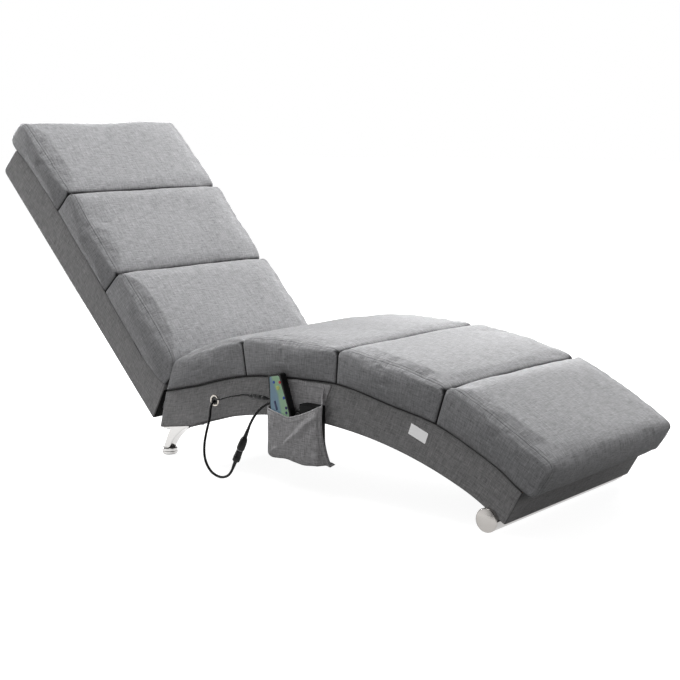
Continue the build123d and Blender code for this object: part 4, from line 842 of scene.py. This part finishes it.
def thicken(piece, thickness, offset):
    thick = piece.modifiers.new("thickness", "SOLIDIFY")
    thick.thickness = thickness
    thick.offset = offset


# Bends a laid-out block to its place and makes its piece
def upholster(name, block, laid, material):
    place = block["place"]
    points = []
    for a, b, c in laid["points"]:
        side = place(a, c)
        points.append((side.x, midY + b, side.y))
    faces = [face[::-1] for face in laid["faces"]]
    weave = [corners[::-1] for corners in laid["weave"]]
    piece = newPiece(name, clothMesh(name, points, faces, weave, laid["away"], laid["deep"]), material)
    finer = piece.modifiers.new("finer", "SUBSURF")
    finer.levels = 1
    finer.render_levels = 1
    return piece


# Where cushions and bases part at the sides: rise over the deck, by angle on the seat and by run up the back
seatParting = [(-22.9, -0.0005), (-19.0, 0.0015), (-16.3, 0.0027), (-9.2, 0.0059), (-1.4, 0.0036),
               (4.2, 0.0079), (11.5, 0.0006), (17.2, 0.0070), (22.7, 0.0019), (26.0, -0.0012),
               (28.4, -0.0077), (30.4, -0.0085)]
backParting = [(0.0, 0.018), (0.030, 0.016), (0.058, 0.006), (0.120, -0.001), (0.184, 0.0016),
               (0.256, 0.0024), (0.353, 0.0075), (0.412, 0.0100), (0.527, 0.0117), (0.620, 0.0143),
               (0.725, 0.0140), (0.841, 0.0090), (0.881, 0.0010)]
# The deck's rear end (flat, as far as the bend) and the seat's angles on the arch, in degrees
deckEnd = (-0.2474, 0.180)
seatStart = -22.9
bendAngle = -17.5
seatEnd = 30.4
creases = [-9.45, 3.95, 17.35]
deckLow = deckRadius + restGap
cushionLook = {
    "height": 0.093, "half": cushionHalf, "edgeRound": 0.013, "footRound": 0.004, "planRound": (0.008, 0.008),
    "seamRun": 0.0145, "panelCorners": (0.003, 0.003, 0.015, 0.015),
    "middleCorners": (0.004, 0.004, 0.011, 0.011), "counts": (42, 12, 5), "step": 0.0085, "crown": 0.004,
    "farLift": 0.000, "sway": 0.0030, "gather": 0.0012,
    "bulge": (0.004, 0.007), "endBulge": (0.0, 0.0), "seamSunk": 0.0013, "fall": (0.45, 0.45),
    "creased": (True, True, True, False), "creaseFrom": 0.0016, "partsAtTop": False, "railDown": (3, 3),
    "dips": (0.007, 0.0),
}
restSlack = 0.00045  # half the gap between neighbouring cushions


def seatCushion(start, end, seed, heights, **changes):
    gap = degrees(restSlack / deckRadius)
    first = start + gap
    return dict(cushionLook, length=radians(end - start - 2 * gap) * deckLow, seed=seed, seamHeights=heights,
                parting=(seatParting, lambda a: first + degrees(a / deckLow)),
                place=lambda a, c: seatPoint(first + degrees(a / deckLow), deckLow + c), **changes)


def backCushion(start, end, seed, heights, **changes):
    look = dict(cushionLook, height=0.088, crown=0.008, farLift=0.011, dips=(0.0, 0.006))
    look.update(changes)
    return dict(look, length=end - start - 2 * restSlack, seed=seed, seamHeights=heights,
                parting=(backParting, lambda a: start + a),
                place=lambda a, c: backPoint(start + restSlack + a, backDepth + restGap + c))


# The rear seat cushion: its deck bends down and its rear face leans back, as far as a shoulder on its top
bend = seatPoint(bendAngle, deckLow)
rearIn = 0.004
shoulderShare = 0.26
shoulderAngle = bendAngle - 1
rearX, rearY = deckEnd[0], deckEnd[1] + restGap
rearSlope = (bend.y - rearY) / (bend.x - rearX)
rear = Vector((rearX + rearIn, rearY + rearIn * rearSlope))
rearRun = (bend - rear).length
rearLength = rearRun + radians(creases[0] - bendAngle) * deckLow - restSlack
rearTop = Vector((-0.2104, 0.266))
shoulder = seatPoint(shoulderAngle, deckLow + cushionDepth + 0.002)


def rearAngle(a):
    if a < rearRun:
        return seatStart + (bendAngle - seatStart) * a / rearRun
    return bendAngle + degrees((a - rearRun) / deckLow)


def rearPlace(a, c):
    low = rear + (bend - rear) * (a / rearRun) if a < rearRun else seatPoint(rearAngle(a), deckLow)
    share = a / rearLength
    if share < shoulderShare:
        high = rearTop + (shoulder - rearTop) * (share / shoulderShare)
    else:
        after = (share - shoulderShare) / (1 - shoulderShare)
        high = seatPoint(shoulderAngle + (creases[0] - 0.02 - shoulderAngle) * after, deckLow + cushionDepth)
    return low + (high - low) * (c / cushionDepth)


cushions = {
    "seat": dict(seatCushion(0, 1, 1.0, [(0, 0.084), (0.4, 0.091), (0.8, 0.096), (1, 0.094)]),
                 dips=(0.0, 0.0), length=rearLength, place=rearPlace, parting=(seatParting, rearAngle)),
    "thigh": seatCushion(creases[0], creases[1], 2.0, [(0, 0.100), (0.3, 0.095), (0.65, 0.090), (1, 0.088)]),
    "knee": seatCushion(creases[1], creases[2], 3.0, [(0, 0.092), (0.3, 0.090), (0.65, 0.094), (1, 0.092)]),
    "calf": dict(seatCushion(creases[2], seatEnd, 4.0,
                             [(0, 0.103), (0.3, 0.098), (0.6, 0.091), (0.85, 0.086), (1, 0.083)]),
                 planRound=(0.008, 0.006), fall=(0.45, 0.1), endBulge=(0.0, 0.014), railDown=(12, 3),
                 farLift=-0.005, panelCorners=(0.003, 0.014, 0.014, 0.015),
                 middleCorners=(0.004, 0.014, 0.013, 0.010), farCorners=(0.003, 0.014, 0.012, 0.015),
                 creased=(True, False, True, False)),
    "lumbar": backCushion(0.033, 0.357, 5.0,
                          [(0, 0.077), (0.15, 0.088), (0.4, 0.097), (0.7, 0.099), (1, 0.097)],
                          panelCorners=(0.003, 0.003, 0.015, 0.066),
                          middleCorners=(0.004, 0.004, 0.010, 0.066), farLift=0.004),
    "upper_back": backCushion(0.357, 0.6425, 6.0, [(0, 0.080), (0.3, 0.086), (0.65, 0.088), (1, 0.097)],
                              farPucker=0.003),
    "head": backCushion(0.6425, 0.928, 7.0, [(0, 0.086), (0.35, 0.087), (0.7, 0.086), (1, 0.080)],
                        planRound=(0.008, 0.012), fall=(0.45, 0.1), endBulge=(0.0, 0.004), railDown=(12, 3),
                        panelCorners=(0.003, 0.020, 0.024, 0.015),
                        middleCorners=(0.004, 0.022, 0.026, 0.010), creased=(True, False, True, False)),
}

layouts = {name: layOut(block, 0.9) for name, block in cushions.items()}
print("cushions laid out", sum(len(laid["points"]) for laid in layouts.values()))
settle(layouts)
print("cushions settled")
pads = {}
for name, block in cushions.items():
    pad = upholster(name + "_pad", block, layouts[name], cushionCloth)
    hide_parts(name + "_cushion")
    pads[name] = pad
print("cushions made")

# Seat base and back base: cloth drawn tight over the frames
baseSag = (0.004, 0.005)  # the cloth hangs a little under the front half's frame, and more at its end
heel = Vector((-0.2744, 0.078))
deckRear = Vector(deckEnd)
baseStart, baseEnd = -20.9, 29.1
archStart = seatPoint(baseStart, archRadius)
heelRun = (archStart - heel).length
seatBaseRun = heelRun + radians(baseEnd - baseStart) * archRadius
deckBend = seatPoint(bendAngle, deckRadius)
deckRearRun = (deckBend - deckRear).length
deckRun = deckRearRun + radians(baseEnd - bendAngle) * deckRadius


def hangAt(angle):
    return baseSag[0] * smooth(angle, -8.0, 6.0) + baseSag[1] * smooth(angle, 23.0, 29.0)


def baseAngle(a):
    s = a / seatBaseRun * deckRun
    if s < deckRearRun:
        return seatStart + (bendAngle - seatStart) * s / deckRearRun
    return bendAngle + degrees((s - deckRearRun) / deckRadius)


def seatBasePlace(a, c):
    if a < heelRun:
        low = heel + (archStart - heel) * (a / heelRun)
    else:
        angle = baseStart + degrees((a - heelRun) / archRadius)
        low = seatPoint(angle, archRadius - hangAt(angle))
    s = a / seatBaseRun * deckRun
    if s < deckRearRun:
        high = deckRear + (deckBend - deckRear) * (s / deckRearRun)
    else:
        high = seatPoint(bendAngle + degrees((s - deckRearRun) / deckRadius), deckRadius)
    return low + (high - low) * (c / baseDepth)


footLean = 0.030  # the back's foot leans this far over its depth
baseLook = {
    "half": baseHalf, "edgeRound": 0.0042, "footRound": 0.0042, "planRound": (0.003, 0.004),
    "seamRun": 0.0030, "panelCorners": (0.004, 0.0045, 0.0045, 0.004),
    "middleCorners": (0.004, 0.0045, 0.0045, 0.004), "step": 0.018,
    "crown": 0.0, "sway": 0.0, "gather": 0.0, "bulge": (0.0, 0.0), "endBulge": (0.0, 0.0), "seamSunk": 0.0,
    "fall": (0.0, 0.0), "creased": (False, False, False, True), "creaseFrom": 0.010, "partsAtTop": True,
    "railDown": (3, 3), "stitchGap": 0.02, "dips": (0.0, 0.0), "underPadShade": 0.6,
}
bases = {
    "seat_base": dict(baseLook, length=seatBaseRun, height=baseDepth, counts=(150, 12, 4), seed=11.0,
                      place=seatBasePlace, parting=(seatParting, baseAngle), node="seat_cover"),
    "back_base": dict(baseLook, length=backLength, height=backDepth, counts=(110, 12, 4), seed=12.0,
                      panelCorners=(0.004, 0.014, 0.010, 0.004), middleCorners=(0.004, 0.014, 0.010, 0.004),
                      place=lambda a, c: backPoint(a + (1 - a / backLength) * footLean * c / backDepth, c),
                      parting=(backParting, lambda a: a), node="back_cover"),
}
for name, block in bases.items():
    piece = upholster(name, block, layOut(block), baseCloth)
    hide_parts(block["node"])
print("bases made")


# Topstitching beside the seams: one stitch set out again and again along each line
stitchSettings = {"pitch": 0.0052, "length": 0.0036, "radius": 0.00042, "sink": 0.0001}


def stitchTree():
    tree = bpy.data.node_groups.new("stitches", "GeometryNodeTree")
    interface = tree.interface
    interface.new_socket("Lines", in_out="INPUT", socket_type="NodeSocketGeometry")
    sockets = {}
    for label in ("Pitch", "Length", "Radius"):
        sockets[label] = interface.new_socket(label, in_out="INPUT", socket_type="NodeSocketFloat").identifier
    interface.new_socket("Stitches", in_out="OUTPUT", socket_type="NodeSocketGeometry")
    given = tree.nodes.new("NodeGroupInput")
    result = tree.nodes.new("NodeGroupOutput")
    curve = makeNode(tree, "GeometryNodeMeshToCurve", Mesh=given.outputs["Lines"])
    points = makeNode(tree, "GeometryNodeCurveToPoints", {"mode": "LENGTH"}, Curve=curve.outputs[0],
                      Length=given.outputs["Pitch"])
    bar = makeNode(tree, "GeometryNodeMeshCylinder", {"fill_type": "TRIANGLE_FAN"}, Vertices=6,
                   Radius=given.outputs["Radius"], Depth=given.outputs["Length"])
    placed = makeNode(tree, "GeometryNodeInstanceOnPoints", Points=points.outputs["Points"],
                      Instance=bar.outputs["Mesh"], Rotation=points.outputs["Rotation"])
    real = makeNode(tree, "GeometryNodeRealizeInstances", Geometry=placed.outputs[0])
    done = makeNode(tree, "GeometryNodeSetMaterial", Geometry=real.outputs[0], Material=thread)
    tree.links.new(done.outputs[0], result.inputs[0])
    return tree, sockets


def makeStitches(name, lines, settings):
    mesh = bpy.data.meshes.new(name + "_lines")
    points, edges = [], []
    for line in lines:
        edges += [(len(points) + i, len(points) + i + 1) for i in range(len(line) - 1)]
        points += line
    mesh.from_pydata(points, edges, [])
    carrier = bpy.data.objects.new(name + "_carrier", mesh)
    scene.collection.objects.link(carrier)
    tree, sockets = stitchTree()
    maker = carrier.modifiers.new("stitches", "NODES")
    maker.node_group = tree
    maker[sockets["Pitch"]] = settings["pitch"]
    maker[sockets["Length"]] = settings["length"]
    maker[sockets["Radius"]] = settings["radius"]
    graph = bpy.context.evaluated_depsgraph_get()
    made = bpy.data.meshes.new_from_object(carrier.evaluated_get(graph))
    made.materials.clear()
    bpy.data.objects.remove(carrier)
    bpy.data.meshes.remove(mesh)
    bpy.data.node_groups.remove(tree)
    made.name = name
    return newPiece(name, made, thread)


graph = bpy.context.evaluated_depsgraph_get()
lines = []
for name, pad in pads.items():
    shaped = pad.evaluated_get(graph).data
    for rail in layouts[name]["rails"]:
        along = [shaped.vertices[i] for i in rail]
        lines.append([vertex.co + vertex.normal * stitchSettings["sink"] for vertex in along])
makeStitches("cushion_topstitch", lines, stitchSettings)
print("stitches made", len(lines))


# Pocket: a flat bag sewn to the base's near side. Its outline is kept as tables, in metres
pocketShape = {
    "left": 0.1500, "depth": 0.0400, "corner": 0.006, "thickness": 0.0016, "guessHeights": (0.075, 0.21),
    "right": [(0.070, 0.3330), (0.085, 0.3280), (0.100, 0.3235), (0.140, 0.3185), (0.168, 0.3176),
              (0.221, 0.3187)],
    "rightDepth": [(0.070, 0.018), (0.110, 0.028), (0.168, 0.035), (0.221, 0.033)],
    "foot": [(0.150, 0.0885), (0.1535, 0.0820), (0.1590, 0.0775), (0.168, 0.0755), (0.185, 0.0765),
             (0.211, 0.0780), (0.2425, 0.0740), (0.267, 0.0715), (0.300, 0.0750), (0.318, 0.0755),
             (0.3330, 0.0725)],
    "mouth": [(0.150, 0.1975), (0.1592, 0.1944), (0.1928, 0.1870), (0.2197, 0.1824), (0.2495, 0.1902),
              (0.2867, 0.2047), (0.3187, 0.2208), (0.330, 0.2240)],
    "gussetMouth": (0.2208, 0.262), "gussetFold": 0.004,
    "backTop": [(0.150, 0.1975), (0.165, 0.2250), (0.180, 0.2530), (0.195, 0.2640), (0.260, 0.2650),
                (0.3185, 0.2652), (0.3221, 0.2620)],
    "backRight": [(0.070, 0.3225), (0.100, 0.3060), (0.145, 0.2960), (0.180, 0.2975), (0.220, 0.3030),
                  (0.265, 0.3221)],
    "footLevels": [0.0, 0.006, 0.014, 0.024], "across": 74, "up": 44, "gusset": 10, "cornerSteps": 4,
    "swell": 0.0035, "uneven": 0.0006, "tuck": 0.0025, "hem": 0.009, "footSeam": 0.0012, "footRise": 0.004,
    "offSeam": 0.02, "besideSeam": 0.003, "clear": 0.001, "backClear": 0.0012, "backSteps": 40,
    "backFootRun": 0.17, "backHem": 0.006, "backShade": 0.35, "shadeHeights": (0.185, 0.215),
}
# Folds in the pocket's front, most of them falling from its mouth: from, to (x, z), height and width
pocketFolds = [
    ((0.3140, 0.1991), (0.2366, 0.1360), 0.0036, 0.0095),
    ((0.2930, 0.1800), (0.2520, 0.1260), -0.0026, 0.0080),
    ((0.2440, 0.1440), (0.2080, 0.1150), 0.0018, 0.0042),
    ((0.3150, 0.1760), (0.2800, 0.1180), 0.0016, 0.0080),
    ((0.1560, 0.0850), (0.1900, 0.1050), 0.0014, 0.0060),
    ((0.2300, 0.0790), (0.2550, 0.1080), 0.0012, 0.0060),
    ((0.3130, 0.1350), (0.3000, 0.0850), 0.0014, 0.0060),
    ((0.1600, 0.1850), (0.1850, 0.1500), 0.0013, 0.0070),
]


def foldHeight(x, z):
    total = 0.0
    for (x0, z0), (x1, z1), height, width in pocketFolds:
        alongX, alongZ = x1 - x0, z1 - z0
        length = sqrt(alongX ** 2 + alongZ ** 2)
        share = ((x - x0) * alongX + (z - z0) * alongZ) / length ** 2
        off = abs((x - x0) * alongZ - (z - z0) * alongX) / length
        fade = smooth(share, -0.12, 0.12) * (1 - smooth(share, 0.7, 1.1))
        total += height * fade * exp(-(off / width) ** 2)
    return total


def pocketDepth(x, z):
    near = smooth(x, 0.3075, 0.3200)
    return pocketShape["depth"] + (fromTable(pocketShape["rightDepth"], z) - pocketShape["depth"]) * near


# One row round the bag at a share of its height: left gusset, front with round corners, right gusset. Each
# place is (x, out from the base, z, distance from a seam, distance from the hem)
def pocketRow(shape, rise):
    left, radius, clear, offSeam = shape["left"], shape["corner"], shape["clear"], shape["offSeam"]
    gusset, depth = shape["gusset"], shape["depth"]
    low, high = shape["guessHeights"]
    guess = low + (high - low) * rise
    right, backRight = fromTable(shape["right"], guess), fromTable(shape["backRight"], guess)
    rightDepth = pocketDepth(right, guess)
    path = [(left, clear + (depth - radius - clear) * i / gusset, offSeam if i else 0.0)
            for i in range(gusset + 1)]
    turns = [pi / 2 * i / (shape["cornerSteps"] + 1) for i in range(1, shape["cornerSteps"] + 1)]
    for turn in turns:
        path.append((left + radius * (1 - cos(turn)), depth - radius * (1 - sin(turn)),
                     0.0 if turn == turns[1] else shape["besideSeam"]))
    for i in range(shape["across"] + 1):
        x = left + radius + (right - left - 2 * radius) * i / shape["across"]
        path.append((x, None, min(x - left, right - x)))
    for turn in reversed(turns):
        path.append((right - radius * (1 - cos(turn)), rightDepth - radius * (1 - sin(turn)),
                     0.0 if turn == turns[1] else shape["besideSeam"]))
    for i in range(1, gusset + 1):
        share = i / gusset
        path.append((right + (backRight - right) * share - shape["gussetFold"] * sin(pi * share),
                     clear + (rightDepth - radius - clear) * (1 - share), offSeam))
    gussetStart = len(path) - gusset
    tuck = shape["tuck"] * (1 - smooth(rise, 0.0, 0.03))
    placed = []
    for i, (x, out, seam) in enumerate(path):
        foot, mouth = fromTable(shape["foot"], x), fromTable(shape["mouth"], x)
        if i >= gussetStart:
            low, high = shape["gussetMouth"]
            mouth = low + (high - low) * (i - gussetStart + 1) / gusset
        z = foot + (mouth - foot) * rise
        if out is None:
            middle = max(0.0, 4 * (x - left) * (right - x) / (right - left) ** 2)
            swell = shape["swell"] * middle ** 0.5 * (1 - (1 - rise) ** 4) * (1 - 0.5 * rise)
            uneven = shape["uneven"] * noise.noise(Vector((x * 60, z * 60, 4.0)))
            out = pocketDepth(x, z) + swell + foldHeight(x, z) + uneven - tuck
        elif i < gussetStart and out > depth * 0.6:
            out -= tuck
        hem = (1 - rise) * (mouth - foot)
        placed.append((x, out, z, min(seam, offSeam), abs(hem - shape["hem"]) + 0.0008))
    return placed


def makePocket(shape):
    points, faces, weave, away, deep = [], [], [], [], []
    left = shape["left"]

    def put(x, out, z, seam, paintedShadeLevel=0.0):
        points.append((x, sideY - out, z))
        away.append(seam)
        deep.append(paintedShadeLevel)
        return len(points) - 1

    def quads(first, second, firstUV, secondUV):
        for i in range(len(first) - 1):
            corners = (first[i], first[i + 1], second[i + 1], second[i])
            faces.append(corners)
            weave.append((firstUV[i], firstUV[i + 1], secondUV[i + 1], secondUV[i]))

    rows, uvs = [], []
    lastFoot = shape["footLevels"][-1]
    levels = shape["footLevels"] + [lastFoot + (1 - lastFoot) * (j + 1) / shape["up"]
                                    for j in range(shape["up"])]
    for rise in levels:
        ring, uv, run, previous = [], [], 0.0, None
        for x, out, z, seam, hem in pocketRow(shape, rise):
            if previous:
                run += sqrt((x - previous[0]) ** 2 + (out - previous[1]) ** 2)
            previous = (x, out)
            footSeam = abs(z - fromTable(shape["foot"], x) - shape["footSeam"])
            ring.append(put(x, out, z, min(seam, hem, footSeam)))
            uv.append((run, z))
        if rows:
            quads(rows[-1], ring, uvs[-1], uv)
        rows.append(ring)
        uvs.append(uv)
    # Bottom: from the front's foot back to the base, with painted shade at half strength
    backFoot = [put(points[i][0], shape["clear"], points[i][2] + shape["footRise"], shape["offSeam"], 0.5)
                for i in rows[0]]
    quads(backFoot, rows[0], [(u, -0.04) for u, _ in uvs[0]], uvs[0])
    # Back panel, up against the base
    backRun = shape["backTop"][-1][0] - left
    previous = None
    for j in range(shape["backSteps"] + 1):
        level, levelUV = [], []
        for i in range(shape["across"] + 1):
            share = i / shape["across"]
            low = fromTable(shape["foot"], left + share * shape["backFootRun"]) + shape["footRise"]
            top = fromTable(shape["backTop"], left + share * backRun)
            z = low + (top - low) * j / shape["backSteps"]
            x = left + share * (fromTable(shape["backRight"], z) - left)
            edge = min(abs(top - z - shape["backHem"]), shape["offSeam"])
            shade = shape["backShade"] * (1 - smooth(z, *shape["shadeHeights"]))
            level.append(put(x, shape["backClear"], z, edge, shade))
            levelUV.append((3 + x, z))
        if previous:
            quads(level, previous[0], levelUV, previous[1])
        previous = (level, levelUV)
    mesh = clothMesh("pocket_bag", points, faces, weave, away, deep)
    bag = newPiece("pocket_bag", mesh, pocketCloth)
    thicken(bag, shape["thickness"], -1)
    return bag


pocket = makePocket(pocketShape)
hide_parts("pocket")
print("pocket made")


# Black lining: under the seat's arch, and across the ends of both bases that face each other. A line is a
# list of (place in the side view, way that it sags, run)
liningShape = {"across": 24, "lift": 0.0004, "uneven": 0.4, "pitch": (14, 6), "thickness": 0.0006,
               "endHalf": 0.272, "endSag": 0.0010, "endInset": 0.003, "endSteps": 12}


def makeCloth(name, line, halfWidth, drop, replaced):
    across = liningShape["across"]
    points, faces, weave = [], [], []
    for i, (place, normal, run) in enumerate(line):
        for k in range(across + 1):
            share = k / across
            inner = min(1.0, 6 * min(i, len(line) - 1 - i) / (len(line) - 1)) * sin(pi * share) ** 0.6
            runPitch, sharePitch = liningShape["pitch"]
            uneven = liningShape["uneven"] * noise.noise(Vector((run * runPitch, share * sharePitch, 2.0)))
            sag = liningShape["lift"] + drop * inner * (1 - liningShape["uneven"] + uneven)
            points.append((place.x + normal.x * sag, midY + halfWidth * (2 * share - 1),
                           place.y + normal.y * sag))
        if i:
            before, step = line[i - 1][2], 2 * halfWidth / across
            for k in range(across):
                a, b = (i - 1) * (across + 1) + k, i * (across + 1) + k
                faces.append((a, b, b + 1, a + 1))
                weave.append(((before, k * step), (run, k * step), (run, (k + 1) * step),
                              (before, (k + 1) * step)))
    mesh = clothMesh(name, points, faces, weave, [0.1] * len(points), [0.0] * len(points))
    piece = newPiece(name, mesh, liningCloth)
    thicken(piece, liningShape["thickness"], 0)
    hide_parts(replaced)


dustShape = {"from": -20.4, "to": 23.0, "steps": 60, "half": 0.2547, "sag": 0.0016}
dustRun = radians(dustShape["to"] - dustShape["from"]) * archRadius
line = []
for i in range(dustShape["steps"] + 1):
    angle = dustShape["to"] + (dustShape["from"] - dustShape["to"]) * i / dustShape["steps"]
    down = -Vector((sin(radians(angle)), cos(radians(angle))))
    line.append((seatPoint(angle, archRadius - hangAt(angle)), down, dustRun * i / dustShape["steps"]))
makeCloth("seat_dust_cloth", line, dustShape["half"], dustShape["sag"], "seat_dust_cover")


def makeEndCloth(name, first, last):
    along = (last - first).normalized()
    normal = Vector((-along.y, along.x))
    inset, steps = liningShape["endInset"], liningShape["endSteps"]
    run = (last - first).length - 2 * inset
    first, last = first + along * inset, last - along * inset
    line = [(first + (last - first) * (i / steps), normal, run * i / steps) for i in range(steps + 1)]
    makeCloth(name, line, liningShape["endHalf"], liningShape["endSag"], "end_linings")


makeEndCloth("seat_end_cloth", heel, deckRear)
makeEndCloth("back_foot_cloth", backPoint(footLean, backDepth), backPoint(0.0, 0.0))
print("dust cloths made")


# Floor, world and lamps. The floor shows white, and lights the part less than it shows
floorLook = {"half": 40, "paint": 0.12, "seenPaint": 0.30, "glow": 0.93, "mirroredGlow": 0.7}
worldLook = {"level": 0.35, "shineUp": (0.15, 0.75, 1.0, 0.25), "shineAlong": (-0.65, 0.15, 0.9, 0.12)}

floorMesh = bpy.data.meshes.new("floor")
floorCorners = [(x * floorLook["half"], y * floorLook["half"], 0)
                for x, y in ((-1, -1), (1, -1), (1, 1), (-1, 1))]
floorMesh.from_pydata(floorCorners, [], [(0, 1, 2, 3)])
floor = bpy.data.objects.new("floor", floorMesh)
scene.collection.objects.link(floor)
floorMaterial, tree = startMaterial("floor_white")
rays = makeNode(tree, "ShaderNodeLightPath").outputs
seen = calc(tree, "MAXIMUM", rays["Is Camera Ray"], rays["Is Glossy Ray"])
paint = blendColours(tree, seen, grey(floorLook["paint"]), grey(floorLook["seenPaint"]))
diffuse = makeNode(tree, "ShaderNodeBsdfDiffuse", Color=paint).outputs[0]
mirrored = calc(tree, "MULTIPLY", rays["Is Glossy Ray"], floorLook["mirroredGlow"])
strength = addShare(tree, rays["Is Camera Ray"], floorLook["glow"], mirrored)
glow = makeNode(tree, "ShaderNodeEmission", Color=grey(1.0), Strength=strength).outputs[0]
finishMaterial(tree, makeNode(tree, "ShaderNodeAddShader", args=[diffuse, glow]).outputs[0])
floorMesh.materials.append(floorMaterial)

world = bpy.data.worlds.new("surroundings")
scene.world = world
world.use_nodes = True
tree = world.node_tree
tree.nodes.clear()
rays = makeNode(tree, "ShaderNodeLightPath").outputs
towards = split(tree, makeNode(tree, "ShaderNodeTexCoord").outputs["Generated"])
shine = calc(tree, "MULTIPLY", ramp(tree, towards[2], *worldLook["shineUp"]),
             ramp(tree, towards[0], *worldLook["shineAlong"]))
more = calc(tree, "SUBTRACT", shine, worldLook["level"])
strength = addShare(tree, more, rays["Is Glossy Ray"], worldLook["level"])
seen = calc(tree, "MAXIMUM", rays["Is Camera Ray"], rays["Is Transmission Ray"])
strength = calc(tree, "MAXIMUM", strength, seen)
background = makeNode(tree, "ShaderNodeBackground", Color=grey(1.0), Strength=strength)
output = tree.nodes.new("ShaderNodeOutputWorld")
tree.links.new(background.outputs[0], output.inputs["Surface"])

lamps = {
    "back_key": {"place": (-3.0, 0.3, 1.6), "target": (0.3, 0.0, 0.3), "size": (1.5, 1.0), "power": 262},
    "far_side": {"place": (0.0, 3.0, 1.6), "target": (0.0, 0.0, 0.3), "size": (1.5, 1.0), "power": 103},
    "overhead": {"place": (-0.5, -0.2, 3.2), "target": (-0.1, 0.0, 0.3), "size": (1.8, 1.5), "power": 38},
}
for name, lamp in lamps.items():
    data = bpy.data.lights.new(name, "AREA")
    data.shape = "RECTANGLE"
    data.size, data.size_y = lamp["size"]
    data.energy = lamp["power"]
    made = bpy.data.objects.new(name, data)
    scene.collection.objects.link(made)
    made.location = lamp["place"]
    made.rotation_euler = (Vector(lamp["target"]) - Vector(lamp["place"])).to_track_quat("-Z", "Y").to_euler()
print("stage made")
